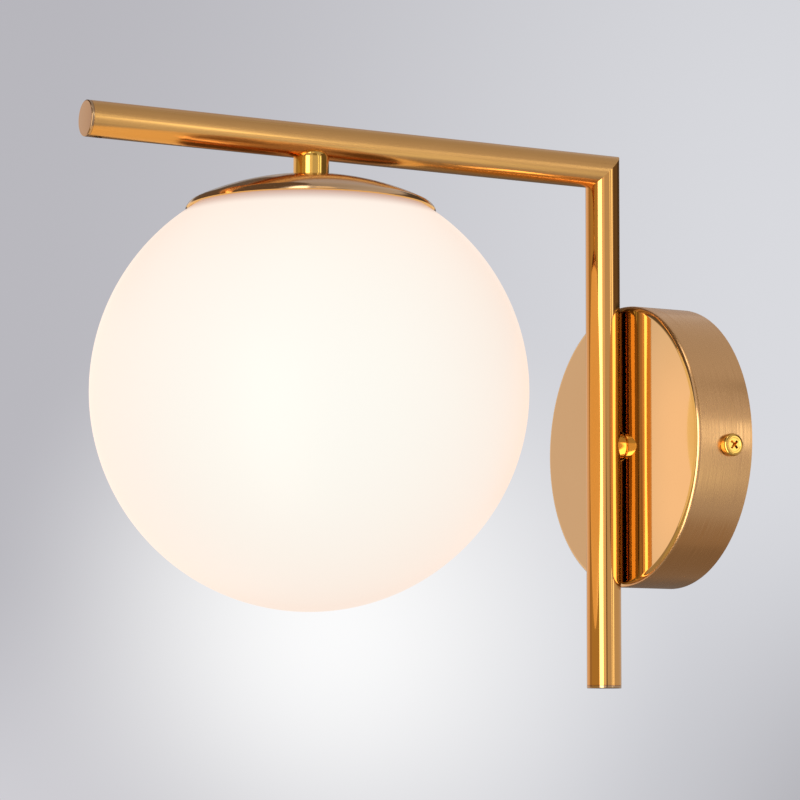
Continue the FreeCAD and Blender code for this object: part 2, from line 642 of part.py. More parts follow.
def shade_cap():
    """Spun cap: a shallow dome with a rounded lip that ends just over the glass."""
    dome = (0, DOME_CENTRE_Z)
    lip = (LIP_CENTRE_R, LIP_CENTRE_Z)
    inner_dome_r = CAP_DOME_R - CAP_SHEET
    hole_r = NIPPLE_R + THREAD_CLEARANCE
    meet = angle_of(dome, lip)
    hole_out = (hole_r, DOME_CENTRE_Z + math.sqrt(CAP_DOME_R ** 2 - hole_r ** 2))
    hole_in = (hole_r, dome_under_z(hole_r))
    return over_head(turned(hole_out, arc_to(dome, CAP_DOME_R, angle_of(dome, hole_out), meet),
                            arc_to(lip, CAP_LIP_R, meet, CAP_LIP_END_DEG), (CAP_EDGE_R, CAP_EDGE_Z),
                            arc_to(lip, CAP_LIP_R - CAP_SHEET, CAP_LIP_END_DEG, meet),
                            arc_to(dome, inner_dome_r, meet, angle_of(dome, hole_in))))


def cap_nut():
    """Hexagon nut that clamps the cap to the neck."""
    nut = hex_nut(CAP_NUT_FLAT, CAP_NUT_HEIGHT, NIPPLE_R + THREAD_CLEARANCE)
    nut.translate(V(0, 0, CAP_NUT_BOTTOM_Z))
    return over_head(nut)


def gallery_spacer():
    """Plain ring between the cap's nut and the gallery's plate."""
    ring = washer(SPACER_R, NIPPLE_R + THREAD_CLEARANCE, CAP_NUT_BOTTOM_Z - PLATE_TOP_Z)
    ring.translate(V(0, 0, PLATE_TOP_Z))
    return over_head(ring)


def arc_bar(inner_r, outer_r, centre_deg, width_deg, bottom_z, top_z):
    """Part of a ring about the Z axis, between two radii, two heights and two angles."""
    bar = outline((inner_r, bottom_z), (outer_r, bottom_z), (outer_r, top_z), (inner_r, top_z))
    bar = bar.revolve(V(0, 0, 0), UP, width_deg)
    bar.rotate(V(0, 0, 0), UP, centre_deg - width_deg / 2)
    return bar


def lug_angles():
    """Angles of the bayonet lugs at rest, locked."""
    return [90.0 + 360.0 * i / LUG_COUNT for i in range(LUG_COUNT)]


def lug_width_deg():
    """Angle that one lug takes up on the collar."""
    return math.degrees(LUG_WIDTH / COLLAR_INNER_R)


def gallery_ring():
    """Pressed cup under the cap: a vented plate and a skirt with three hooked bayonet slots."""
    skirt_bottom = LUG_Z - SKIRT_BELOW_LUG
    bend_r = GALLERY_SHEET
    hole_r = NIPPLE_R + THREAD_CLEARANCE
    cup = turned((hole_r, PLATE_BOTTOM_Z), (hole_r, PLATE_TOP_Z), (SKIRT_R - bend_r, PLATE_TOP_Z),
                 arc_to((SKIRT_R - bend_r, PLATE_TOP_Z - bend_r), bend_r, 90, 0), (SKIRT_R, skirt_bottom),
                 (SKIRT_BORE_R, skirt_bottom), (SKIRT_BORE_R, PLATE_BOTTOM_Z))
    clear_deg = math.degrees(BAYONET_CLEARANCE / SKIRT_R)
    lug_deg = lug_width_deg() + 2 * clear_deg
    low = LUG_Z - BAYONET_CLEARANCE
    high = LUG_Z + LUG_HEIGHT + BAYONET_CLEARANCE
    inner_r = SKIRT_BORE_R - GALLERY_SHEET
    outer_r = SKIRT_R + GALLERY_SHEET
    for angle in lug_angles():
        track = arc_bar(inner_r, outer_r, angle + LUG_TURN / 2, lug_deg + LUG_TURN, low, high)
        entry = arc_bar(inner_r, outer_r, angle + LUG_TURN, lug_deg, skirt_bottom - GALLERY_SHEET, high)
        cup = cup.cut(track.fuse(entry))
    for i in range(GALLERY_VENTS):
        foot = V(GALLERY_VENT_CIRCLE_R, 0, PLATE_BOTTOM_Z)
        vent = Part.makeCylinder(GALLERY_VENT_R, GALLERY_SHEET, foot)
        vent.rotate(V(0, 0, 0), UP, 360.0 * i / GALLERY_VENTS)
        cup = cup.cut(vent)
    return over_head(cup)


def gallery_nut():
    """Hexagon nut under the gallery's plate."""
    nut = hex_nut(CAP_NUT_FLAT, GALLERY_NUT_HEIGHT, NIPPLE_R + THREAD_CLEARANCE)
    nut.translate(V(0, 0, HOLDER_TOP_Z))
    return over_head(nut)


def glass_globe():
    """Blown opal ball with a ground mouth at its top."""
    inner_r = GLOBE_R - GLOBE_WALL
    ball = (0, 0)
    top_out = (MOUTH_R, math.sqrt(GLOBE_R ** 2 - MOUTH_R ** 2))
    top_in = (MOUTH_R, math.sqrt(inner_r ** 2 - MOUTH_R ** 2))
    shell = turned((0, -GLOBE_R), arc_to(ball, GLOBE_R, -90, angle_of(ball, top_out)), top_in,
                   arc_to(ball, inner_r, angle_of(ball, top_in), -90))
    shell.translate(V(0, 0, GLOBE_Z))
    return over_head(shell)


def collar_bond():
    """Silicone bond between the glass and the bayonet collar."""
    bottom_z = GLOBE_Z + math.sqrt((GLOBE_R - GLOBE_WALL) ** 2 - MOUTH_R ** 2)
    return over_head(turned((COLLAR_OUTER_R, bottom_z), (MOUTH_R, bottom_z), (MOUTH_R, MOUTH_TOP_Z),
                            (COLLAR_OUTER_R, MOUTH_TOP_Z)))


def globe_collar():
    """Metal ring in the globe's mouth, with three lugs that point inwards."""
    ring = turned((COLLAR_INNER_R, COLLAR_BOTTOM_Z), (COLLAR_OUTER_R, COLLAR_BOTTOM_Z),
                  (COLLAR_OUTER_R, MOUTH_TOP_Z), (COLLAR_INNER_R, MOUTH_TOP_Z))
    lugs = [arc_bar(COLLAR_INNER_R - LUG_LENGTH, COLLAR_INNER_R + COLLAR_SHEET / 2, angle, lug_width_deg(),
                    LUG_Z, LUG_Z + LUG_HEIGHT) for angle in lug_angles()]
    return over_head(ring.fuse(lugs).removeSplitter())


def holder_cap():
    """Top of the lampholder: threaded neck, sloping shoulder and rim."""
    top = HOLDER_TOP_Z
    neck_z = top - HOLDER_NECK_HEIGHT
    shoulder_z = neck_z - HOLDER_CAP_SLOPE
    bottom = top - HOLDER_CAP_HEIGHT
    inner_r = HOLDER_R - HOLDER_WALL
    bore_r = NIPPLE_R + THREAD_CLEARANCE
    return over_head(turned((bore_r, top), (HOLDER_NECK_R, top), (HOLDER_NECK_R, neck_z),
                            (HOLDER_R, shoulder_z), (HOLDER_R, bottom), (inner_r, bottom),
                            (inner_r, shoulder_z - HOLDER_WALL / 2), (HOLDER_NECK_R, neck_z - HOLDER_WALL),
                            (bore_r, neck_z - HOLDER_WALL)))


def holder_skirt():
    """Sleeve screwed into the lampholder's cap, with a ledge that carries the insert and a wider foot."""
    top = HOLDER_TOP_Z - HOLDER_CAP_HEIGHT + SKIRT_LAP
    foot_r = HOLDER_R - HOLDER_WALL / 2
    foot_z = HOLDER_MOUTH_Z + SKIRT_FOOT_HEIGHT
    bore_r = INSERT_R + SLIP
    ledge_r = bore_r - SKIRT_LEDGE
    return over_head(turned((ledge_r, HOLDER_MOUTH_Z), (foot_r, HOLDER_MOUTH_Z), (foot_r, foot_z),
                            (SKIRT_SLEEVE_R, foot_z + HOLDER_WALL), (SKIRT_SLEEVE_R, top), (bore_r, top),
                            (bore_r, INSERT_BOTTOM_Z), (ledge_r, INSERT_BOTTOM_Z)))


def pillar_block(side, width):
    """Square block of a given width where a terminal pillar stands in the insert."""
    low = V(side * PILLAR_X - width / 2, -PILLAR_Y - width / 2, INSERT_TOP_Z - PILLAR_HEIGHT)
    return Part.makeBox(width, width, PILLAR_HEIGHT, low)


def holder_insert():
    """Ceramic insert with a pocket for each terminal, screw holes at its side and a rivet hole."""
    block = Part.makeCylinder(INSERT_R, INSERT_HEIGHT, V(0, 0, INSERT_BOTTOM_Z))
    for side in (-1, 1):
        screw = V(side * PILLAR_X, -PILLAR_Y, INSERT_TOP_Z - PILLAR_SCREW_DROP)
        hole = Part.makeCylinder(PILLAR_SCREW_R + THREAD_CLEARANCE, INSERT_R, screw, SIDE * side)
        block = block.cut(pillar_block(side, PILLAR_SIDE + 2 * SLIP)).cut(hole)
    rivet = V(-CONTACT_RIVET_X, -PILLAR_Y, INSERT_BOTTOM_Z)
    return over_head(block.cut(Part.makeCylinder(CONTACT_RIVET_R + SLIP, INSERT_HEIGHT, rivet)))


def holder_terminals():
    """Two brass pillars in the insert, bored from above for the wires and tapped from the side."""
    pillars = []
    bore_depth = PILLAR_SCREW_DROP + 2 * PILLAR_SCREW_R
    for side in (-1, 1):
        top = V(side * PILLAR_WIRE_X, -PILLAR_Y, INSERT_TOP_Z)
        screw = top + DOWN * PILLAR_SCREW_DROP
        tap = Part.makeCylinder(PILLAR_SCREW_R + THREAD_CLEARANCE, PILLAR_SIDE, screw, SIDE * side)
        bore = Part.makeCylinder(PILLAR_BORE_R, bore_depth, top, DOWN)
        pillars.append(over_head(pillar_block(side, PILLAR_SIDE).cut(bore).cut(tap)))
    return Part.makeCompound(pillars)


def holder_terminal_screws():
    """Two slotted grub screws, their tips on the wires."""
    screws = []
    foot_x = PILLAR_WIRE_X + WIRE_R + SLIP
    for side in (-1, 1):
        screw = slotted_stud(PILLAR_SCREW_R, PILLAR_SCREW_LENGTH)
        screw.rotate(V(0, 0, 0), V(0, 1, 0), 90 * side)
        screw.translate(V(side * foot_x, -PILLAR_Y, INSERT_TOP_Z - PILLAR_SCREW_DROP))
        screws.append(over_head(screw))
    return Part.makeCompound(screws)


def thread_points(offset):
    """Corners of the screw cap's form from its top down, as ribs that run round it."""
    points = []
    for i in range(THREAD_TURNS):
        rib_top = THREAD_TOP_Z - i * THREAD_PITCH
        points.append((THREAD_ROOT_R + offset, rib_top))
        points.append((THREAD_CREST_R + offset, rib_top - THREAD_PITCH / 2))
    points.append((THREAD_ROOT_R + offset, THREAD_BOTTOM_Z))
    return points


def holder_screw_shell():
    """Brass screw shell, flanged against the insert, its ribs set off from the bulb's."""
    inner = thread_points(BULB_CLEARANCE)
    outer = thread_points(BULB_CLEARANCE + SHELL_SHEET)
    top = INSERT_BOTTOM_Z
    under = top - SHELL_SHEET
    wall_r = outer[0][0]
    flange_r = wall_r + SHELL_FLANGE
    flange = [(wall_r, under), (flange_r, under), (flange_r, top)]
    return over_head(turned((inner[0][0], top), *inner, *outer[::-1], *flange))


def holder_centre_contact():
    """Spring tongue over the bulb's tip, with the rivet that holds it under the live terminal."""
    top = INSERT_BOTTOM_Z
    root_x = -CONTACT_RIVET_X - CONTACT_RIVET_R
    flat_x = -CONTACT_RIVET_X + CONTACT_RIVET_R
    tip_x = CONTACT_WIDTH / 2
    low = top - CONTACT_DROP
    tongue = outline((root_x, top), (flat_x, top), (-tip_x, low), (tip_x, low),
                     (tip_x, low - CONTACT_SHEET), (-tip_x, low - CONTACT_SHEET),
                     (flat_x, top - CONTACT_SHEET), (root_x, top - CONTACT_SHEET))
    tongue = tongue.extrude(V(0, CONTACT_WIDTH, 0))
    tongue.translate(V(0, -CONTACT_WIDTH / 2, 0))
    rivet = Part.makeCylinder(CONTACT_RIVET_R, INSERT_HEIGHT - PILLAR_HEIGHT + CONTACT_SHEET / 2,
                              V(-CONTACT_RIVET_X, -PILLAR_Y, top - CONTACT_SHEET / 2))
    return over_head(tongue.fuse(rivet).removeSplitter())


def bulb_screw_shell():
    """Screw cap of the bulb, with ribs that run round it and a cone up to its glass ring."""
    inner_r = THREAD_ROOT_R - SHELL_SHEET
    section = [(BULB_RING_R - SHELL_SHEET, BULB_RING_Z), (BULB_RING_R, BULB_RING_Z)] + thread_points(0)
    section += [(THREAD_ROOT_R, BULB_TOP_Z), (inner_r, BULB_TOP_Z), (inner_r, THREAD_TOP_Z - SHELL_SHEET)]
    return over_head(turned(*section))


def bulb_tip_insulator():
    """Black glass ring between the bulb's screw cap and its tip contact."""
    top = BULB_RING_Z + BULB_RING_HEIGHT
    return over_head(turned((0, BULB_RING_Z), (BULB_RING_R, BULB_RING_Z), (BULB_TIP_R, top), (0, top)))


def bulb_tip_contact():
    """Round tip contact of the bulb."""
    bottom = BULB_RING_Z + BULB_RING_HEIGHT
    return over_head(turned((0, bottom), (BULB_TIP_R, bottom), (BULB_TIP_R, bottom + BULB_TIP_BRIM),
                            (BULB_TIP_FLAT_R, BULB_TIP_Z), (0, BULB_TIP_Z)))


def bulb_body():
    """Plastic body of the bulb, flaring from its screw cap to the dome's seam."""
    waist = BULB_TOP_Z - BULB_COLLAR_HEIGHT
    flare = (BULB_COLLAR_R + (BULB_BODY_R - BULB_COLLAR_R) * BULB_WAIST, (waist + BULB_SEAM_Z) / 2)
    return over_head(turned((0, BULB_TOP_Z), (BULB_COLLAR_R, BULB_TOP_Z), (BULB_COLLAR_R, waist),
                            (flare, (BULB_BODY_R, BULB_SEAM_Z)), (0, BULB_SEAM_Z)))


def bulb_dome():
    """Opal dome of the bulb, a hollow ball cut off at the seam."""
    ball = (0, BULB_BALL_Z)
    seam = BULB_SEAM_Z - BULB_BALL_Z
    inner_r = BULB_BALL_R - BULB_DOME_WALL
    edge = (BULB_BODY_R, BULB_SEAM_Z)
    inner_edge = (math.sqrt(inner_r ** 2 - seam ** 2), BULB_SEAM_Z)
    foot = (0, BULB_BALL_Z - BULB_BALL_R)
    return over_head(turned(foot, arc_to(ball, BULB_BALL_R, -90, angle_of(ball, edge)), inner_edge,
                            arc_to(ball, inner_r, angle_of(ball, inner_edge), -90)))


def block_pole_x():
    """Sideways places of the terminal block's poles."""
    return [(i - (BLOCK_POLES - 1) / 2) * BLOCK_PITCH for i in range(BLOCK_POLES)]


def block_screw_z():
    """Heights of the two rows of terminal screws."""
    middle = BLOCK_RISE + BLOCK_HEIGHT / 2
    return [middle - CLAMP_SCREW_SPACING / 2, middle + CLAMP_SCREW_SPACING / 2]


def terminal_block():
    """Three-pole block with a square channel for each clamp and a screw shaft over each screw."""
    corner = V(-BLOCK_LENGTH / 2, BLOCK_RISE, BRACKET_SHEET)
    block = Part.makeBox(BLOCK_LENGTH, BLOCK_HEIGHT, BLOCK_DEPTH, corner)
    edge_out = BRACKET_SHEET + BLOCK_DEPTH - BLOCK_EDGE_R
    block = block.makeFillet(BLOCK_EDGE_R, [e for e in block.Edges if e.CenterOfMass.z > edge_out])
    side = CLAMP_WIDTH + 2 * SLIP
    shaft_r = CLAMP_BORE_R + THREAD_CLEARANCE + SCREW_CLEARANCE
    for x in block_pole_x():
        low = V(x - side / 2, BLOCK_RISE, CLAMP_OUT - side / 2)
        block = block.cut(Part.makeBox(side, BLOCK_HEIGHT, side, low))
        for z in block_screw_z():
            block = block.cut(Part.makeCylinder(shaft_r, BLOCK_DEPTH, V(x, z, CLAMP_OUT)))
    for x in (-BLOCK_PITCH / 2, BLOCK_PITCH / 2):
        place = V(x, BLOCK_RISE + BLOCK_HEIGHT / 2, BRACKET_SHEET)
        block = block.cut(Part.makeCylinder(BLOCK_SCREW_R + THREAD_CLEARANCE, BLOCK_DEPTH, place))
    return outward(block)


def terminal_clamps():
    """Brass clamps, one for each pole, bored for the wires and tapped for the screws."""
    clamps = []
    bottom = BLOCK_RISE + (BLOCK_HEIGHT - CLAMP_LENGTH) / 2
    for x in block_pole_x():
        low = V(x - CLAMP_WIDTH / 2, bottom, CLAMP_OUT - CLAMP_WIDTH / 2)
        clamp = Part.makeBox(CLAMP_WIDTH, CLAMP_LENGTH, CLAMP_WIDTH, low)
        foot = V(x, bottom, CLAMP_OUT)
        clamp = clamp.cut(Part.makeCylinder(CLAMP_BORE_R, CLAMP_LENGTH, foot, V(0, 1, 0)))
        for z in block_screw_z():
            clamp = clamp.cut(Part.makeCylinder(CLAMP_BORE_R, CLAMP_WIDTH, V(x, z, CLAMP_OUT)))
        clamps.append(outward(clamp))
    return Part.makeCompound(clamps)


def terminal_screws():
    """Screws of the terminal block, two for each pole."""
    screws = []
    foot = CLAMP_OUT + WIRE_R + SCREW_CLEARANCE
    length = BRACKET_SHEET + BLOCK_DEPTH - foot - SCREW_CLEARANCE
    for x in block_pole_x():
        for z in block_screw_z():
            screw = slotted_stud(CLAMP_BORE_R - THREAD_CLEARANCE, length)
            screw.translate(V(x, z, foot))
            screws.append(outward(screw))
    return Part.makeCompound(screws)


def block_screws():
    """Two screws through the block into the bracket."""
    screws = []
    top = BRACKET_SHEET + BLOCK_DEPTH
    for x in (-BLOCK_PITCH / 2, BLOCK_PITCH / 2):
        screw = pan_screw(BLOCK_SCREW_R, top - WALL_CLEARANCE, BLOCK_SCREW_HEAD_R, BLOCK_SCREW_HEAD_HEIGHT,
                          BLOCK_SCREW_EDGE_R)
        screw.translate(V(x, BLOCK_RISE + BLOCK_HEIGHT / 2, top))
        screws.append(outward(screw))
    return Part.makeCompound(screws)


def earth_washer():
    """Toothed washer between the bracket's earth boss and the earth wire's ring."""
    ring = toothed_washer(M4_HEAD_R, M4_R + THREAD_CLEARANCE, EARTH_WASHER_SHEET, EARTH_WASHER_TEETH)
    ring.translate(V(EARTH_SIDE, -EARTH_DROP, EARTH_RING_OUT - EARTH_WASHER_SHEET))
    return outward(ring)


def earth_ring():
    """Crimped ring on the end of the earth wire."""
    foot = V(0, ring_barrel_foot(), RING_BARREL_R)
    along = V(0, 1, 0)
    tongue = Part.makeBox(2 * RING_BARREL_R, foot.y + RING_SHEET, RING_SHEET, V(-RING_BARREL_R, 0, 0))
    barrel = Part.makeCylinder(RING_BARREL_R, RING_BARREL_LENGTH, foot, along)
    bore = Part.makeCylinder(RING_BARREL_R - RING_BARREL_WALL, RING_BARREL_LENGTH, foot, along)
    ring = Part.makeCylinder(RING_R, RING_SHEET).fuse([tongue, barrel]).cut(bore)
    ring = ring.cut(Part.makeCylinder(M4_R + SCREW_CLEARANCE, RING_SHEET)).removeSplitter()
    ring.translate(V(EARTH_SIDE, -EARTH_DROP, EARTH_RING_OUT))
    return outward(ring)


def ring_barrel_foot():
    """Distance from the earth screw to the near end of the ring's barrel."""
    return M4_HEAD_R + SCREW_CLEARANCE


def earth_screw():
    """Earth screw with its head on the ring, ending inside the bracket's sheet."""
    top = EARTH_RING_OUT + RING_SHEET
    screw = pan_screw(M4_R, top - WALL_CLEARANCE, M4_HEAD_R, M4_HEAD_HEIGHT, M4_HEAD_EDGE_R)
    screw.translate(V(EARTH_SIDE, -EARTH_DROP, top))
    return outward(screw)


def wire(name, points, radii):
    """Round wire along straight runs joined by tangent arcs, one radius for each inner point."""
    edges = []
    here = points[0]
    for i in range(1, len(points) - 1):
        back = (points[i - 1] - points[i]).normalize()
        on = (points[i + 1] - points[i]).normalize()
        half = back.getAngle(on) / 2
        run = radii[i - 1] / math.tan(half)
        start = points[i] + back * run
        end = points[i] + on * run
        centre = points[i] + (back + on).normalize() * (radii[i - 1] / math.sin(half))
        mid = centre + (points[i] - centre).normalize() * radii[i - 1]
        edges.append(Part.LineSegment(here, start).toShape())
        edges.append(Part.Arc(start, mid, end).toShape())
        here = end
    edges.append(Part.LineSegment(here, points[-1]).toShape())
    path = Part.Wire(edges)
    first = (points[1] - points[0]).normalize()
    section = Part.Wire([Part.Circle(points[0], first, WIRE_R).toShape()])
    solid = path.makePipeShell([section], True, False)
    share = solid.Volume / (math.pi * WIRE_R ** 2 * path.Length)
    print(name, "length", round(path.Length, 1), "radii", radii, "volume ratio", round(share, 4))
    return solid


def wire_end_z():
    """Height of the wires' ends in the terminal block."""
    return BLOCK_RISE + WIRE_IN_BLOCK


def lamp_wire(name, pole_x, lane):
    """Wire from a pole of the block, through stem, upright, arm and neck, to the lampholder."""
    x = lane * WIRE_APART / 2
    stem_z = -(STEM_BORE_R - SLIP - BUSH_WALL - WIRE_R - WIRE_APART / 2)
    reach = BORE_R - WIRE_R - WIRE_CLEARANCE
    corner_z = ARM_HEIGHT + reach
    head_y = -HEAD_OUT - PILLAR_Y
    terminal_x = lane * PILLAR_WIRE_X
    tail_z = INSERT_TOP_Z - PILLAR_SCREW_DROP - WIRE_PAST_SCREW
    spread = PILLAR_WIRE_X - WIRE_APART / 2
    above_insert_z = INSERT_TOP_Z + WIRE_ABOVE_INSERT
    points = [V(pole_x, -CLAMP_OUT, wire_end_z()),
              V(pole_x, -CLAMP_OUT, BLOCK_RISE - WIRE_BELOW_BLOCK),
              V(x, -CLAMP_OUT, stem_z),
              V(x, -UPRIGHT_OUT - reach, stem_z),
              V(x, -UPRIGHT_OUT + reach, corner_z),
              V(x, head_y, corner_z),
              V(x, head_y, above_insert_z + spread),
              V(terminal_x, head_y, above_insert_z),
              V(terminal_x, head_y, tail_z)]
    radii = [WIRE_BLOCK_BEND_R, WIRE_BLOCK_BEND_R, WIRE_STEM_BEND_R, WIRE_CORNER_BEND_R, WIRE_NECK_BEND_R,
             WIRE_HOLDER_BEND_R, WIRE_HOLDER_BEND_R]
    return wire(name, points, radii)


def wire_live():
    """Brown wire, from the first pole."""
    return lamp_wire("wire_live", block_pole_x()[0], -1)


def wire_neutral():
    """Blue wire, from the middle pole."""
    return lamp_wire("wire_neutral", block_pole_x()[1], 1)


def wire_earth():
    """Green and yellow wire, from the last pole to the ring under the earth screw."""
    pole_x = block_pole_x()[-1]
    barrel_z = -EARTH_DROP + ring_barrel_foot()
    barrel_y = -EARTH_RING_OUT - RING_BARREL_R
    points = [V(pole_x, -CLAMP_OUT, wire_end_z()),
              V(pole_x, -CLAMP_OUT, BLOCK_RISE - EARTH_WIRE_RUN),
              V(EARTH_SIDE, barrel_y, barrel_z + RING_BARREL_LENGTH + EARTH_WIRE_RUN),
              V(EARTH_SIDE, barrel_y, barrel_z + RING_SHEET)]
    return wire("wire_earth", points, [WIRE_EARTH_BEND_R, WIRE_EARTH_BEND_R])


NODES = [canopy_cup, wall_bracket, cable_grommet, canopy_side_screws, stem_stud, stem_collar,
         stem_washer, stem_nut, stem_bush, upright_tube, arm_tube, upright_end_plug, arm_end_plug,
         arm_plug_screw, neck_boss, head_nipple, shade_cap, cap_nut, gallery_spacer, gallery_ring,
         gallery_nut, glass_globe, collar_bond, globe_collar, holder_cap, holder_skirt, holder_insert,
         holder_terminals, holder_terminal_screws, holder_screw_shell, holder_centre_contact,
         bulb_screw_shell, bulb_tip_insulator, bulb_tip_contact, bulb_body, bulb_dome, terminal_block,
         terminal_clamps, terminal_screws, block_screws, earth_washer, earth_ring, earth_screw,
         wire_live, wire_neutral, wire_earth]


def main():
    """Build every piece and write it to its own file."""
    os.makedirs("parts", exist_ok=True)
    for make in NODES:
        shape = make()
        solids = shape.Solids
        name = make.__name__
        print(name, "solids", len(solids), "valid", shape.isValid(), "volume", round(shape.Volume, 1))
        if len(solids) == 1:
            shape = solids[0]
        shape.exportStep(os.path.join("parts", name + ".step"))


main()
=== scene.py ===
"""Dress of a globe wall sconce: brass tubes, a polished canopy, a spun cap and a lit opal globe.

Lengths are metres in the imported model's frame: the wall is the plane y = 0, the lamp stands out
from it along -Y, and +Z is up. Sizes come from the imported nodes' own boxes wherever a node has them.
"""
import logging
import math
from dataclasses import dataclass
from enum import Enum
from typing import Callable, Optional

import bmesh
import bpy
from mathutils import Matrix, Vector


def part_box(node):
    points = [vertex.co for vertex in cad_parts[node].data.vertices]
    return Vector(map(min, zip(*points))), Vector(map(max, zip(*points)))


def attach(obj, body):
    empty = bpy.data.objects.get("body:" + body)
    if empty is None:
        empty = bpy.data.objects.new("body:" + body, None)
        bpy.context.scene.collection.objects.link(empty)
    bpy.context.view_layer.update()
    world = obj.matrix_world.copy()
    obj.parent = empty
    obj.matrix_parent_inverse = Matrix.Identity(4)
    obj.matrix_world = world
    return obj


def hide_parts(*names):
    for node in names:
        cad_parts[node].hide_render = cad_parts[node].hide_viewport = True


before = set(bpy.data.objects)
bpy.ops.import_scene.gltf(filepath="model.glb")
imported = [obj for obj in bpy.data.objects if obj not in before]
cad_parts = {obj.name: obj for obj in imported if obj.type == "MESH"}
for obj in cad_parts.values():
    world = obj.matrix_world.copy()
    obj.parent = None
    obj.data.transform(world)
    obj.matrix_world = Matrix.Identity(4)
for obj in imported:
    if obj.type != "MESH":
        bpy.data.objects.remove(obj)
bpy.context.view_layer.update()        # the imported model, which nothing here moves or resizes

MM = 0.001
SMOOTH_ANGLE = math.radians(32.0)
SAME_SPOT = 1e-7
log = logging.getLogger("sconce")

Point = tuple[float, float]
Cope = Callable[[float, float, float], float]
Piece = bpy.types.Object
Shape = bmesh.types.BMesh
Tree = bpy.types.NodeTree
Node = bpy.types.Node
Socket = bpy.types.NodeSocket


class Body(Enum):
    """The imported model's moving bodies."""

    LAMP = "lamp"
    GLOBE = "globe"


class Lay(Enum):
    """The way the fine lines of a worked metal surface run."""

    NONE = "polished, no lines"
    ALONG_Y = "drawn along the arm"
    ALONG_Z = "drawn along the upright"
    ROUND_Y = "turned round the canopy's axis"
    ROUND_HEAD = "spun round the globe's axis"


def linear(code: str, level: float = 1.0) -> tuple[float, float, float, float]:
    """Turn an sRGB hex value into a linear colour.

    Args:
        code: six hex digits.
        level: how many times as bright as written.

    Returns:
        Red, green, blue and a full alpha.
    """
    values = [int(code[i:i + 2], 16) / 255 for i in (0, 2, 4)]
    red, green, blue = (v / 12.92 if v <= 0.04045 else ((v + 0.055) / 1.055) ** 2.4 for v in values)
    return (red * level, green * level, blue * level, 1.0)


def add_node(tree: Tree, kind: str, links: Optional[dict] = None, **settings: object) -> Node:
    """Add a node with its settings and its inputs.

    Args:
        tree: the node tree that gets the node.
        kind: the node's type name.
        links: input name or number, to a plain value, to the output that feeds it, or to a node,
            whose first output in use then feeds it.
        settings: attributes of the node itself.

    Returns:
        The new node.
    """
    node = tree.nodes.new(kind)
    for name, value in settings.items():
        setattr(node, name, value)
    for name, value in (links or {}).items():
        if isinstance(value, Node):
            value = next(output for output in value.outputs if output.enabled)
        if isinstance(value, Socket):
            tree.links.new(value, node.inputs[name])
        else:
            node.inputs[name].default_value = value
    return node


def low_high(node: str) -> tuple[Vector, Vector]:
    """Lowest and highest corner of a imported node, as vectors."""
    low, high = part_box(node)
    return Vector(low), Vector(high)


def half_width(node: str) -> float:
    """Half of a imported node's width along X."""
    low, high = low_high(node)
    return (high.x - low.x) / 2


def middle(node: str) -> Vector:
    """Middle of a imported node's box."""
    low, high = low_high(node)
    return (low + high) / 2


def axis_foot(node: str) -> Vector:
    """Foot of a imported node's upright axis, at height zero."""
    spot = middle(node)
    return Vector((spot.x, spot.y, 0.0))


class Finish:
    """A surface finish: its material is made once and shared by every piece that has it."""

    name: str
    made: dict[str, bpy.types.Material] = {}

    def material(self) -> bpy.types.Material:
        """Give the finish's material, built on first use.

        Returns:
            The material, the same one each time.
        """
        if self.name not in Finish.made:
            material = bpy.data.materials.new(self.name)
            material.use_nodes = True
            tree = material.node_tree
            tree.nodes.clear()
            add_node(tree, "ShaderNodeOutputMaterial", {"Surface": self.surface(tree)})
            Finish.made[self.name] = material
        return Finish.made[self.name]

    def surface(self, tree: Tree) -> Node:
        """Build the finish's shader in its material's tree."""
        raise NotImplementedError

    def dress(self, piece: Piece) -> None:
        """Put the finish on every face of a piece."""
        piece.data.materials.clear()
        piece.data.materials.append(self.material())


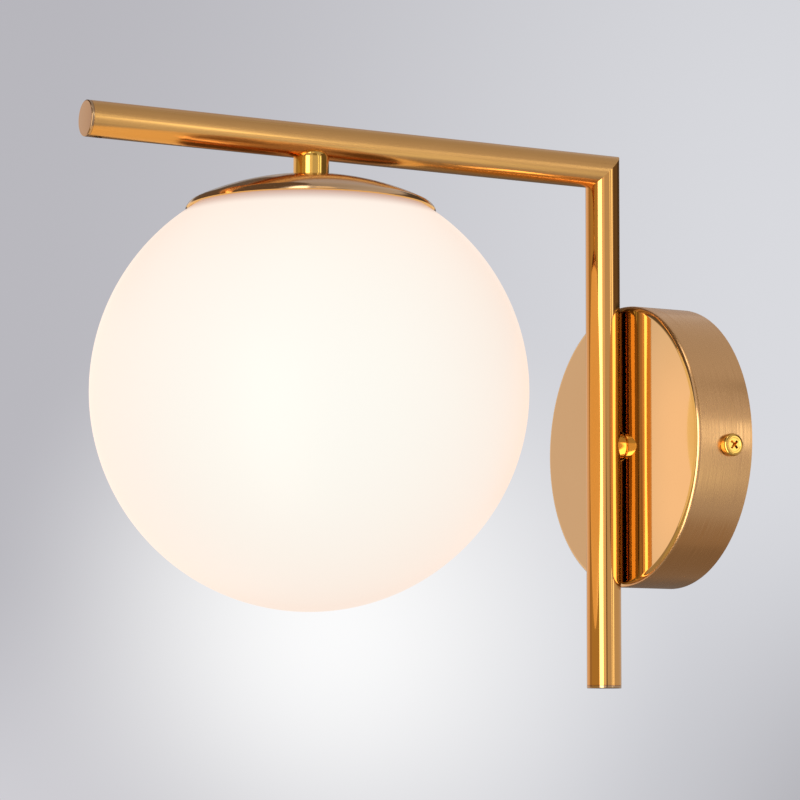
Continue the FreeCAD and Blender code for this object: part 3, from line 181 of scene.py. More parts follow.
@dataclass(frozen=True)
class WorkedMetal(Finish):
    """A solid or plated metal, polished, drawn or turned.

    The colour is the metal's own mirror tint. Fine lines follow its lay, and a slow mottle of tone
    gives the slight unevenness of a lacquered hand-finished part.
    """

    name: str
    tint: str
    worn: str
    roughness: float
    lay: Lay = Lay.NONE
    line_mm: float = 0.6
    line_depth_mm: float = 0.002
    mottle: float = 0.35
    coat: float = 0.0
    coat_roughness: float = 0.12
    mottle_mm: float = 18.18
    dent_mm: float = 7.143
    line_stretch: float = 160.0
    ring_drift: float = 0.6
    polish_spread: float = 0.25
    line_spread: float = 0.5

    def line_vector(self, tree: Tree, place: Socket) -> Node:
        """Coordinates whose noise is stretched along the finish's lines.

        Args:
            tree: the material's tree.
            place: object coordinates.

        Returns:
            A node with the stretched coordinates, one unit to a line's width.
        """
        fine = 1.0 / (self.line_mm * MM)
        long = fine / self.line_stretch
        if self.lay in (Lay.ALONG_Y, Lay.ALONG_Z):
            scale = (fine, long, fine) if self.lay is Lay.ALONG_Y else (fine, fine, long)
            return add_node(tree, "ShaderNodeMapping", {"Vector": place, "Scale": scale})
        spun = self.lay is Lay.ROUND_HEAD
        across, along = ("Y", "Z") if spun else ("Z", "Y")
        centre = -middle("shade_cap") if spun else Vector()
        moved = add_node(tree, "ShaderNodeMapping", {"Vector": place, "Location": centre})
        flat = add_node(tree, "ShaderNodeVectorMath",
                        {0: moved, 1: (1.0, 1.0, 0.0) if spun else (1.0, 0.0, 1.0)}, operation="MULTIPLY")
        radius = add_node(tree, "ShaderNodeVectorMath", {0: flat}, operation="LENGTH")
        part = add_node(tree, "ShaderNodeSeparateXYZ", {0: moved}).outputs
        turn = add_node(tree, "ShaderNodeMath", {0: part["X"], 1: part[across]}, operation="ARCTAN2")
        rings = add_node(tree, "ShaderNodeCombineXYZ", {0: radius, 1: part[along], 2: turn})
        return add_node(tree, "ShaderNodeMapping", {"Vector": rings, "Scale": (fine, fine, self.ring_drift)})

    def tone(self, tree: Tree, place: Socket, colour: Node) -> Node:
        """Colour where the piece is worked; here the same on every side."""
        return colour

    def surface(self, tree: Tree) -> Node:
        """Mirror tint with a mottle, and lines in both roughness and relief.

        Args:
            tree: the material's tree.

        Returns:
            The metal's shader node.
        """
        place = add_node(tree, "ShaderNodeTexCoord").outputs["Object"]
        blotch = add_node(tree, "ShaderNodeTexNoise",
                          {"Vector": place, "Scale": 1.0 / (self.mottle_mm * MM), "Detail": 3.0})
        amount = add_node(tree, "ShaderNodeMath", {0: blotch, 1: self.mottle}, operation="MULTIPLY")
        colour = add_node(tree, "ShaderNodeMix", {0: amount, 6: linear(self.tint), 7: linear(self.worn)},
                          data_type="RGBA")
        if self.lay is Lay.NONE:
            relief = add_node(tree, "ShaderNodeTexNoise",
                              {"Vector": place, "Scale": 1.0 / (self.dent_mm * MM), "Detail": 1.0})
            pattern, spread = blotch, self.polish_spread
        else:
            relief = add_node(tree, "ShaderNodeTexNoise",
                              {"Vector": self.line_vector(tree, place), "Scale": 1.0, "Detail": 2.0})
            pattern, spread = relief, self.line_spread
        rough = add_node(tree, "ShaderNodeMapRange",
                         {"Value": pattern, "From Min": 0.25, "From Max": 0.75,
                          "To Min": self.roughness * (1 - spread), "To Max": self.roughness * (1 + spread)})
        bump = add_node(tree, "ShaderNodeBump", {"Height": relief, "Strength": 1.0,
                                                 "Distance": self.line_depth_mm * MM})
        return add_node(tree, "ShaderNodeBsdfPrincipled", {
            "Base Color": self.tone(tree, place, colour), "Metallic": 1.0, "Roughness": rough,
            "Normal": bump, "Coat Weight": self.coat, "Coat Roughness": self.coat_roughness})


@dataclass(frozen=True)
class GapShadedMetal(WorkedMetal):
    """The upright's metal, with painted shade on its back in the narrow gap before the canopy."""

    # painted shade: the colour that the tube's back turns to in the gap before the canopy
    gap_shade: str = "967338"
    shade_from: float = 0.22
    shade_full: float = 0.38
    shade_fade: float = 1.0 * MM

    def tone(self, tree: Tree, place: Socket, colour: Node) -> Node:
        """Paint shade on the tube's back, as far up and down as the canopy reaches: the narrow gap before the
        canopy is painted darker.

        Args:
            tree: the material's tree.
            place: object coordinates.
            colour: the polished colour.

        Returns:
            A node with the colour and the painted shade.
        """
        part = add_node(tree, "ShaderNodeSeparateXYZ", {0: place}).outputs
        centre, radius = middle("upright_tube").y, half_width("upright_tube")
        back = add_node(tree, "ShaderNodeMapRange",
                        {"Value": part["Y"], "From Min": centre + self.shade_from * radius,
                         "From Max": centre + self.shade_full * radius})
        reach = add_node(tree, "ShaderNodeMath", {0: part["Z"]}, operation="ABSOLUTE")
        canopy = half_width("canopy_cup")
        near = add_node(tree, "ShaderNodeMapRange", {"Value": reach, "From Min": canopy + self.shade_fade,
                                                     "From Max": canopy - self.shade_fade})
        # painted shade: full on the tube's back within the canopy's height, fading out beyond it
        amount = add_node(tree, "ShaderNodeMath", {0: back, 1: near}, operation="MULTIPLY")
        return add_node(tree, "ShaderNodeMix", {0: amount, 6: colour, 7: linear(self.gap_shade)}, data_type="RGBA")


@dataclass(frozen=True)
class Moulded(Finish):
    """A moulded plastic, rubber, ceramic or glass part: body colour, faint cloud, and a fine skin."""

    name: str
    colour: str
    cloud: str
    roughness: float
    grain_mm: float = 0.8
    grain_depth_mm: float = 0.004
    translucence: float = 0.0
    stripe: Optional[str] = None
    cloud_mm: float = 11.11
    depth_of_light: float = 2.0 * MM
    unevenness: float = 0.2
    stripe_from: float = 0.62
    stripe_full: float = 0.7

    def striped(self, tree: Tree, normal: Socket, paint: Node) -> Node:
        """Paint the stripe over the sides that face along Y.

        Args:
            tree: the material's tree.
            normal: the surface's own direction.
            paint: the sleeve's colour.

        Returns:
            A node with the striped colour.
        """
        facing = add_node(tree, "ShaderNodeSeparateXYZ", {0: normal}).outputs["Y"]
        size = add_node(tree, "ShaderNodeMath", {0: facing}, operation="ABSOLUTE")
        edge = add_node(tree, "ShaderNodeMapRange", {"Value": size, "From Min": self.stripe_from,
                                                     "From Max": self.stripe_full})
        return add_node(tree, "ShaderNodeMix", {0: edge, 6: paint, 7: linear(self.stripe)}, data_type="RGBA")

    def surface(self, tree: Tree) -> Node:
        """Body colour with a cloud, a stripe where there is one, and a fine relief.

        Args:
            tree: the material's tree.

        Returns:
            The moulded part's shader node.
        """
        place = add_node(tree, "ShaderNodeTexCoord").outputs
        cloud = add_node(tree, "ShaderNodeTexNoise",
                         {"Vector": place["Object"], "Scale": 1.0 / (self.cloud_mm * MM)})
        paint = add_node(tree, "ShaderNodeMix", {0: cloud, 6: linear(self.colour), 7: linear(self.cloud)},
                         data_type="RGBA")
        if self.stripe:
            paint = self.striped(tree, place["Normal"], paint)
        grain = add_node(tree, "ShaderNodeTexNoise", {"Vector": place["Object"], "Detail": 3.0,
                                                      "Scale": 1.0 / (self.grain_mm * MM)})
        rough = add_node(tree, "ShaderNodeMapRange",
                         {"Value": grain, "To Min": self.roughness * (1 - self.unevenness),
                          "To Max": self.roughness * (1 + self.unevenness)})
        bump = add_node(tree, "ShaderNodeBump", {"Height": grain, "Strength": 1.0,
                                                 "Distance": self.grain_depth_mm * MM})
        return add_node(tree, "ShaderNodeBsdfPrincipled", {
            "Base Color": paint, "Roughness": rough, "Normal": bump,
            "Subsurface Weight": self.translucence, "Subsurface Scale": self.depth_of_light})


@dataclass(frozen=True)
class LitOpal(Finish):
    """Etched opal glass with the lamp on: an even white glow, warmer towards the ball's edge, with painted
    shade just under the cap.

    The metal around it is lit by and mirrors a deeper, warmer glow than the eye sees on the ball.
    """

    name: str
    heart: str
    rim: str
    # painted shade: the colour of the glow just under the cap's edge
    under_cap_shade: str
    glow: float
    thrown: str
    thrown_glow: float
    body: str
    roughness: float
    gloss: float = 0.25
    rim_full: float = 0.8
    shade_depth: float = 4.6 * MM
    etch_mm: float = 1.111
    etch_depth_mm: float = 0.002

    def surface(self, tree: Tree) -> Node:
        """Glow that turns to the rim colour at the edge, and to a painted shade just under the cap.

        Args:
            tree: the material's tree.

        Returns:
            The lit glass's shader node.
        """
        facing = add_node(tree, "ShaderNodeLayerWeight", {"Blend": 0.5}).outputs["Facing"]
        edge = add_node(tree, "ShaderNodeMapRange", {"Value": facing, "From Max": self.rim_full})
        ball = add_node(tree, "ShaderNodeMix", {0: edge, 6: linear(self.heart), 7: linear(self.rim)},
                        data_type="RGBA")
        place = add_node(tree, "ShaderNodeTexCoord").outputs["Object"]
        height = add_node(tree, "ShaderNodeSeparateXYZ", {0: place}).outputs["Z"]
        # painted shade: the glow dims in a band just under the cap's edge, where the cap shades the glass
        cap_edge = low_high("shade_cap")[0].z
        shade = add_node(tree, "ShaderNodeMapRange",
                         {"Value": height, "From Min": cap_edge - self.shade_depth, "From Max": cap_edge},
                         interpolation_type="SMOOTHSTEP")
        seen = add_node(tree, "ShaderNodeMix", {0: shade, 6: ball, 7: linear(self.under_cap_shade)},
                        data_type="RGBA")
        ray = add_node(tree, "ShaderNodeLightPath").outputs["Is Camera Ray"]
        colour = add_node(tree, "ShaderNodeMix", {0: ray, 6: linear(self.thrown), 7: seen}, data_type="RGBA")
        power = add_node(tree, "ShaderNodeMapRange", {"Value": ray, "To Min": self.thrown_glow,
                                                      "To Max": self.glow})
        etch = add_node(tree, "ShaderNodeTexNoise",
                        {"Vector": place, "Scale": 1.0 / (self.etch_mm * MM), "Detail": 2.0})
        bump = add_node(tree, "ShaderNodeBump", {"Height": etch, "Strength": 1.0,
                                                 "Distance": self.etch_depth_mm * MM})
        return add_node(tree, "ShaderNodeBsdfPrincipled", {
            "Base Color": linear(self.body), "Roughness": self.roughness, "Normal": bump,
            "Specular IOR Level": self.gloss, "Emission Color": colour, "Emission Strength": power})


# Satin drawn brass tube under clear lacquer: a soft, stretched highlight with fine lines along it
ARM_BRASS = WorkedMetal("brass_drawn_satin", "E2AA68", "D39A58", 0.2, Lay.ALONG_Y, 0.7, 0.0016, 0.3, 0.1)
# Drawn brass tube polished before lacquer: nearly a mirror, still with faint lengthwise lines; its back
# carries painted shade in the gap before the canopy
UPRIGHT_BRASS = GapShadedMetal("brass_drawn_polished", "E4A761", "DA9B55", 0.06, Lay.ALONG_Z, 0.9, 0.0005, 0.2)
# Buffed brass sheet of the canopy's face: a flat mirror with a pink-gold tint
FACE_BRASS = WorkedMetal("brass_buffed_sheet", "EAC592", "E0B883", 0.035, Lay.NONE, 1.0, 0.0004, 0.25)
# Spun side wall of the canopy: fine turned rings that soften what it mirrors round the band
BAND_BRASS = WorkedMetal("brass_turned_band", "EBB57F", "DBA46D", 0.24, Lay.ROUND_Y, 0.5, 0.0011, 0.3)
# Spun and polished brass dome of the cap, with the spinner's faint rings
CAP_BRASS = WorkedMetal("brass_spun_polished", "E7BC91", "DAAD80", 0.12, Lay.ROUND_HEAD, 1.4, 0.0006, 0.3)
# Turned solid brass of the neck, the collar and the screw heads: small, sharp, yellow highlights
TURNED_BRASS = WorkedMetal("brass_turned_solid", "EDB95F", "D29A48", 0.09, Lay.NONE, 0.6, 0.0006, 0.25)
# Faced ends of the tubes' plugs: a paler, pinker cut than the polished sides
PLUG_BRASS = WorkedMetal("brass_faced_end", "C39D79", "B6916F", 0.12, Lay.NONE, 0.6, 0.0006, 0.25)
# Unpolished brass of terminals, contacts and screw shells: duller and browner
PLAIN_BRASS = WorkedMetal("brass_plain_turned", "C9A063", "A47C45", 0.32, Lay.NONE, 0.5, 0.003, 0.6)
# Steel under bright zinc plate: cool grey with a faint cloud
ZINC_STEEL = WorkedMetal("steel_zinc_plated", "C9CCD0", "A3A7AD", 0.3, Lay.NONE, 0.8, 0.004, 0.7)
# Bright machined steel of small screws: pale, with a soft shine
BRIGHT_STEEL = WorkedMetal("steel_bright", "D5D6D8", "B4B6BA", 0.22, Lay.NONE, 0.5, 0.002, 0.5)
# Black oxide on a steel grub screw: a dark, oily sheen
BLACK_STEEL = WorkedMetal("steel_black_oxide", "3B3A3A", "252424", 0.35, Lay.NONE, 0.5, 0.003, 0.5)
# Pressed aluminium of the globe's ring: white and slightly dull
RING_ALUMINIUM = WorkedMetal("aluminium_pressed", "D8D9DB", "BDBEC2", 0.28, Lay.NONE, 0.6, 0.003, 0.5)
# Nickel plate on the bulb's screw shell: bright, with a warm tinge
SHELL_NICKEL = WorkedMetal("nickel_plated_shell", "D0CABD", "B5AE9F", 0.2, Lay.NONE, 0.6, 0.002, 0.5)
# Tin solder of the bulb's tip, and the earth's tinned ring: grey and rough
SOLDER = WorkedMetal("tin_solder", "B9BBBD", "8F9194", 0.42, Lay.NONE, 0.4, 0.01, 0.8)
# Nitrile rubber of the cable grommet: near black and dull
RUBBER = Moulded("rubber_black", "1B1B1C", "262627", 0.65, 0.6, 0.01)
# Nylon of the stem's bush and the terminal block: milky, soft edged
NYLON = Moulded("nylon_natural", "E6E3DA", "D6D2C6", 0.42, 0.9, 0.004, 0.25)
# Clear silicone bond between the glass and its ring, cloudy in a thin layer
SILICONE = Moulded("silicone_bond", "D9D9D4", "C9C9C3", 0.35, 1.2, 0.01, 0.5)
# Black phenolic of the lampholder: dark, with the shine of its mould
PHENOLIC = Moulded("phenolic_black", "1E1C1B", "2A2725", 0.28, 0.7, 0.003)
# Steatite of the lampholder's insert: cream, smooth and slightly clear at its edges
STEATITE = Moulded("steatite_ceramic", "E9E4D8", "DAD3C4", 0.3, 0.7, 0.004, 0.15)
# White plastic body of the bulb: soft, even and half dull
BULB_PLASTIC = Moulded("bulb_body_white", "EFEEEA", "E2E0DA", 0.4, 0.9, 0.003, 0.2)
# Black glass of the bulb's tip ring: a deep, glossy black
BLACK_GLASS = Moulded("vitrite_black", "151518", "1F1F24", 0.15, 0.8, 0.004)
# PVC sleeves of the wires, waxy: brown, blue, and green with yellow stripes
PVC_BROWN = Moulded("pvc_brown", "5B3620", "4C2C19", 0.38, 0.5, 0.003, 0.1)
PVC_BLUE = Moulded("pvc_blue", "2A5FA8", "234F8E", 0.38, 0.5, 0.003, 0.1)
PVC_EARTH = Moulded("pvc_green_yellow", "2F8A3C", "287833", 0.38, 0.5, 0.003, 0.1, "E4C32A")
# Lit opal glass of the globe, and of the bulb inside it: a white glow, with painted shade just under the
# cap's edge
GLOBE_OPAL = LitOpal("opal_glass_lit", "FFFDF4", "FFEBDC", "CBAA9C", 0.89, "FFE2A2", 0.86, "5A5755", 0.45)
BULB_OPAL = LitOpal("bulb_opal_lit", "FFFBEE", "FFE9CF", "FFF1DC", 0.9, "FFD9A0", 2.0, "8A8780", 0.4)


def arc(centre: Point, radius: float, start: float, end: float, steps: int) -> list[Point]:
    """Points along an arc of a half section, both ends included.

    Args:
        centre: the arc's centre as (radius, height).
        radius: the arc's own radius.
        start: first angle in degrees, from the radius axis towards up.
        end: last angle in degrees.
        steps: number of spans.

    Returns:
        The points as (radius, height).
    """
    turns = [math.radians(start + (end - start) * i / steps) for i in range(steps + 1)]
    return [(centre[0] + radius * math.cos(t), centre[1] + radius * math.sin(t)) for t in turns]


def smooth(mesh: bpy.types.Mesh) -> None:
    """Shade a mesh smooth up to its sharp edges."""
    mesh.shade_smooth()
    mesh.set_sharp_from_angle(angle=SMOOTH_ANGLE)


def close_up(shape: Shape) -> None:
    """Merge a shape's doubled points, and turn its faces outwards."""
    bmesh.ops.remove_doubles(shape, verts=shape.verts, dist=SAME_SPOT)
    bmesh.ops.recalc_face_normals(shape, faces=shape.faces)


def bridge(shape: Shape, first: list, second: list) -> None:
    """Join two rings of points with faces.

    Args:
        shape: the shape that gets the faces.
        first: points of one ring; a single point is a pole.
        second: points of the other.
    """
    count = max(len(first), len(second))
    if count == 1:
        return
    for i in range(count):
        j = (i + 1) % count
        ends = [first[k % len(first)] for k in (i, j)] + [second[k % len(second)] for k in (j, i)]
        shape.faces.new(list(dict.fromkeys(ends)))


def new_piece(name: str, shape: Shape) -> Piece:
    """Make an object at the origin from a finished shape.

    Args:
        name: the object's name.
        shape: the shape, which is freed.

    Returns:
        The object, in the scene.
    """
    mesh = bpy.data.meshes.new(name)
    shape.to_mesh(mesh)
    shape.free()
    smooth(mesh)
    piece = bpy.data.objects.new(name, mesh)
    bpy.context.scene.collection.objects.link(piece)
    return piece


@dataclass(frozen=True)
class Lathe:
    """Turns a closed half section about an axis that stands on the wall, or hangs through the head."""

    centre: Vector
    outward: bool = False
    segments: int = 160

    def spot(self, radius: float, height: float, turn: float) -> Vector:
        """Place a turned point in the model's frame.

        Args:
            radius: distance from the axis.
            height: distance along the axis.
            turn: angle round the axis.

        Returns:
            The point.
        """
        across, side = radius * math.cos(turn), radius * math.sin(turn)
        if self.outward:
            return self.centre + Vector((across, -height, side))
        return self.centre + Vector((across, side, height))

    def turn(self, name: str, section: list[Point], cope: Optional[Cope] = None) -> Piece:
        """Turn a closed section into a solid skin.

        Args:
            name: the piece's name.
            section: the half section's corners as (radius, height), in order round its outline.
            cope: gives a point's height from its radius, height and turn, to shape an end.

        Returns:
            The turned piece.
        """
        shape = bmesh.new()
        rings = []
        for radius, height in section:
            count = self.segments if radius > SAME_SPOT else 1
            ring = []
            for i in range(count):
                turn = 2 * math.pi * i / self.segments
                level = cope(radius, height, turn) if cope else height
                ring.append(shape.verts.new(self.spot(radius, level, turn)))
            rings.append(ring)
        for first, second in zip(rings, rings[1:] + rings[:1]):
            bridge(shape, first, second)
        close_up(shape)
        return new_piece(name, shape)


def bore(piece: Piece, foot: Vector, along: Vector, radius: float, sides: int = 48) -> None:
    """Cut a round hole through a piece.

    Args:
        piece: the piece, changed in place.
        foot: start of the hole's axis.
        along: the hole's whole length and direction.
        radius: the hole's radius.
        sides: flats round the hole.
    """
    shape = bmesh.new()
    turn = along.to_track_quat("Z", "Y").to_matrix().to_4x4()
    bmesh.ops.create_cone(shape, cap_ends=True, segments=sides, radius1=radius, radius2=radius,
                          depth=along.length, matrix=Matrix.Translation(foot + along / 2) @ turn)
    cut_with(piece, new_piece("cutter", shape))


def delete(piece: Piece) -> None:
    """Remove a helper object and its mesh.

    Args:
        piece: the helper object.
    """
    mesh = piece.data
    bpy.data.objects.remove(piece)
    bpy.data.meshes.remove(mesh)


def cut_with(piece: Piece, cutter: Piece) -> None:
    """Take a cutter's space out of a piece, and delete the cutter.

    Args:
        piece: the piece, changed in place.
        cutter: what is taken out of it.
    """
    change = piece.modifiers.new("cut", "BOOLEAN")
    change.operation = "DIFFERENCE"
    change.solver = "EXACT"
    change.object = cutter
    apply_all(piece)
    delete(cutter)
    smooth(piece.data)


def apply_all(piece: Piece) -> None:
    """Turn a piece's live modifiers into plain mesh.

    Args:
        piece: the piece, changed in place.
    """
    graph = bpy.context.evaluated_depsgraph_get()
    graph.update()
    mesh = bpy.data.meshes.new_from_object(piece.evaluated_get(graph), depsgraph=graph)
    mesh.name = piece.name
    old = piece.data
    piece.modifiers.clear()
    piece.data = mesh
    if old.users == 0:
        bpy.data.meshes.remove(old)


def fit(piece: Piece, body: Body, finish: Finish, *nodes: str) -> Piece:
    """Dress a piece, let it ride on its body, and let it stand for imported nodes.

    Args:
        piece: the finished piece.
        body: the body that carries it.
        finish: its surface.
        nodes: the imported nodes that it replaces.

    Returns:
        The same piece.
    """
    finish.dress(piece)
    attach(piece, body.value)
    if nodes:
        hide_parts(*nodes)
    log.info("%s: %d faces, %s", piece.name, len(piece.data.polygons), finish.name)
    return piece


def keep_nodes(finish: Finish, *nodes: str) -> None:
    """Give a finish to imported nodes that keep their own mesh.

    Args:
        finish: their surface.
        nodes: the nodes' names.
    """
    for name in nodes:
        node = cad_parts[name]
        material = finish.material()
        if not node.material_slots:
            node.data.materials.append(material)
        for slot in node.material_slots:
            slot.material = material
        log.info("%s: kept, %s", name, finish.name)


class NodeModel:
    """A Geometry Nodes tree with named inputs, run once on an empty mesh and kept as plain mesh."""

    def __init__(self, name: str) -> None:
        """Start the tree with its output socket.

        Args:
            name: the tree's name.
        """
        self.tree = bpy.data.node_groups.new(name, "GeometryNodeTree")
        self.tree.interface.new_socket("Geometry", in_out="OUTPUT", socket_type="NodeSocketGeometry")
        self.values: dict[str, object] = {}
        self.sockets: dict[str, str] = {}
        self.entry = self.tree.nodes.new("NodeGroupInput")

    def ask(self, name: str, kind: str, value: object) -> Socket:
        """Add a named input with the value that this model gives it.

        Args:
            name: the input's name.
            kind: the socket type, such as NodeSocketFloat.
            value: what the modifier's input is set to.

        Returns:
            The input's output socket inside the tree.
        """
        item = self.tree.interface.new_socket(name, in_out="INPUT", socket_type=kind)
        self.sockets[name] = item.identifier
        self.values[item.identifier] = value
        return self.entry.outputs[name]

    def build(self, name: str, geometry: Node, finish: Finish) -> Piece:
        """Close the tree, run it, and give the plain piece.

        Args:
            name: the piece's name.
            geometry: the node that gives the finished shape.
            finish: the finish that the tree sets.

        Returns:
            A piece at the origin with no modifier left on it.
        """
        material = self.ask("Finish", "NodeSocketMaterial", finish.material())
        whole = add_node(self.tree, "GeometryNodeRealizeInstances", {0: geometry})
        dressed = add_node(self.tree, "GeometryNodeSetMaterial",
                           {"Geometry": whole, "Material": material})
        add_node(self.tree, "NodeGroupOutput", {0: dressed})
        piece = bpy.data.objects.new(name, bpy.data.meshes.new(name))
        bpy.context.scene.collection.objects.link(piece)
        change = piece.modifiers.new("model", "NODES")
        change.node_group = self.tree
        for socket, value in self.values.items():
            change[socket] = value
        apply_all(piece)
        shape = bmesh.new()
        shape.from_mesh(piece.data)
        close_up(shape)
        shape.to_mesh(piece.data)
        shape.free()
        smooth(piece.data)
        return piece


def ring_of(name: str, master: Piece, count: int, radius: float, centre: Vector, start: float,
            finish: Finish) -> Piece:
    """Repeat a piece round a circle with a Geometry Nodes tree.

    Args:
        name: the new piece's name.
        master: the piece to repeat, drawn at the origin and pointing along +X; it is deleted.
        count: how many.
        radius: radius of the circle.
        centre: middle of the circle, which lies level.
        start: angle of the first piece.
        finish: their surface.

    Returns:
        One plain piece that holds them all.
    """
    model = NodeModel(name)
    tree = model.tree
    total = model.ask("Count", "NodeSocketInt", count)
    reach = model.ask("Circle radius", "NodeSocketFloat", radius)
    place = model.ask("Centre", "NodeSocketVector", centre)
    first = model.ask("First angle", "NodeSocketFloat", start)
    item = model.ask("Master", "NodeSocketObject", master)
    index = add_node(tree, "GeometryNodeInputIndex")
    share = add_node(tree, "ShaderNodeMath", {0: index, 1: total}, operation="DIVIDE")
    turn = add_node(tree, "ShaderNodeMath", {0: share, 1: 2 * math.pi, 2: first},
                    operation="MULTIPLY_ADD")
    cosine = add_node(tree, "ShaderNodeMath", {0: turn}, operation="COSINE")
    sine = add_node(tree, "ShaderNodeMath", {0: turn}, operation="SINE")
    across = add_node(tree, "ShaderNodeMath", {0: cosine, 1: reach}, operation="MULTIPLY")
    side = add_node(tree, "ShaderNodeMath", {0: sine, 1: reach}, operation="MULTIPLY")
    spot = add_node(tree, "ShaderNodeCombineXYZ", {0: across, 1: side})
    facing = add_node(tree, "ShaderNodeCombineXYZ", {2: turn})
    points = add_node(tree, "GeometryNodePoints", {"Count": total, "Position": spot})
    shape = add_node(tree, "GeometryNodeObjectInfo", {"Object": item})
    copies = add_node(tree, "GeometryNodeInstanceOnPoints",
                      {"Points": points, "Instance": shape.outputs["Geometry"],
                       "Rotation": facing})
    put = add_node(tree, "GeometryNodeTransform", {"Geometry": copies, "Translation": place})
    piece = model.build(name, put, finish)
    delete(master)
    return piece


@dataclass
class Canopy:
    """Round cup on the wall, with the two screws through its side."""

    edge: float = 2.0 * MM
    sheet: float = 1.0 * MM
    stem_hole: float = 4.1 * MM
    screw_hole: float = 2.2 * MM
    head_radius: float = 4.0 * MM
    head_height: float = 2.6 * MM
    head_edge: float = 1.1 * MM
    dish_radius: float = 2.48 * MM
    dish_slope: float = 0.15 * MM
    dish_depth: float = 0.12 * MM
    shank: float = 1.95 * MM
    shank_length: float = 8.0 * MM
    tip_radius: float = 1.56 * MM
    tip_length: float = 0.78 * MM
    recess_span: float = 3.9 * MM
    recess_foot: float = 2.34 * MM
    recess_blade: float = 0.9 * MM
    recess_depth: float = 1.6 * MM
    recess_over: float = 0.16 * MM
    sides: int = 256
    screw_sides: int = 64
    polish_depth: float = 0.6 * MM
    polish_facing: float = 0.4

    def cup(self) -> Piece:
        """Spun cup with a rounded front edge, open to the wall.

        Returns:
            The cup, dressed.
        """
        radius = half_width("canopy_cup")
        depth = -low_high("canopy_cup")[0].y
        centre = (radius - self.edge, depth - self.edge)
        inner = self.edge - self.sheet
        section = [(radius, 0.0)] + arc(centre, self.edge, 0, 90, steps=16)
        section += [(self.stem_hole, depth), (self.stem_hole, depth - self.sheet)]
        section += arc(centre, inner, 90, 0, steps=12) + [(radius - self.sheet, 0.0)]
        piece = Lathe(Vector(), outward=True, segments=self.sides).turn("canopy", section)
        screws = middle("canopy_side_screws")
        bore(piece, Vector((-2 * radius, screws.y, screws.z)), Vector((4 * radius, 0, 0)), self.screw_hole)
        return fit(piece, Body.LAMP, BAND_BRASS, "canopy_cup")

    def polish_face(self, piece: Piece) -> None:
        """Give the flat front its mirror finish, and leave the turned wall satin.

        Args:
            piece: the cup, changed in place.
        """
        piece.data.materials.append(FACE_BRASS.material())
        front = low_high("canopy_cup")[0].y + self.polish_depth
        for face in piece.data.polygons:
            if face.center.y < front and face.normal.y < -self.polish_facing:
                face.material_index = 1

    def screw(self) -> Piece:
        """Pan head screw along +X, its head's seat at the origin, with a cross recess.

        Returns:
            One screw, for ring_of to repeat.
        """
        top = self.head_height
        dished = top - self.dish_depth
        section = [(0.0, -self.shank_length), (self.tip_radius, -self.shank_length),
                   (self.shank, self.tip_length - self.shank_length), (self.shank, 0.0),
                   (self.head_radius, 0.0)]
        edge = (self.head_radius - self.head_edge, top - self.head_edge)
        section += arc(edge, self.head_edge, 0, 90, steps=8)
        section += [(self.dish_radius, top), (self.dish_radius - self.dish_slope, dished), (0.0, dished)]
        piece = Lathe(Vector(), segments=self.screw_sides).turn("side_screw", section)
        for angle in (45, 135):
            cut_with(piece, self.recess(math.radians(angle)))
        piece.data.transform(Matrix.Rotation(math.radians(90), 4, "Y"))
        return piece

    def recess(self, turn: float) -> Piece:
        """One tapered wing of the cross recess, turned about the screw's axis.

        Args:
            turn: angle about the screw's axis.

        Returns:
            The wing's shape, to be cut out.
        """
        shape = bmesh.new()
        top = self.head_height + self.recess_over
        low = self.head_height - self.recess_depth
        wide, narrow, half = self.recess_span / 2, self.recess_foot / 2, self.recess_blade / 2
        corners = [(-wide, top), (-narrow, low), (narrow, low), (wide, top)]
        front, back = ([shape.verts.new((x, y, z)) for x, z in corners] for y in (-half, half))
        shape.faces.new(front)
        shape.faces.new(back)
        bridge(shape, front, back)
        close_up(shape)
        bmesh.ops.rotate(shape, verts=shape.verts, matrix=Matrix.Rotation(turn, 3, "Z"))
        return new_piece("recess", shape)

    def side_screws(self) -> Piece:
        """The two screws, one through each side of the cup.

        Returns:
            Both screws as one dressed piece.
        """
        seat = half_width("canopy_side_screws") - self.head_height
        piece = ring_of("side_screws", self.screw(), 2, seat, middle("canopy_side_screws"), 0.0,
                        TURNED_BRASS)
        return fit(piece, Body.LAMP, TURNED_BRASS, "canopy_side_screws")

    def make(self) -> None:
        """Build and dress the canopy."""
        self.polish_face(self.cup())
        self.side_screws()


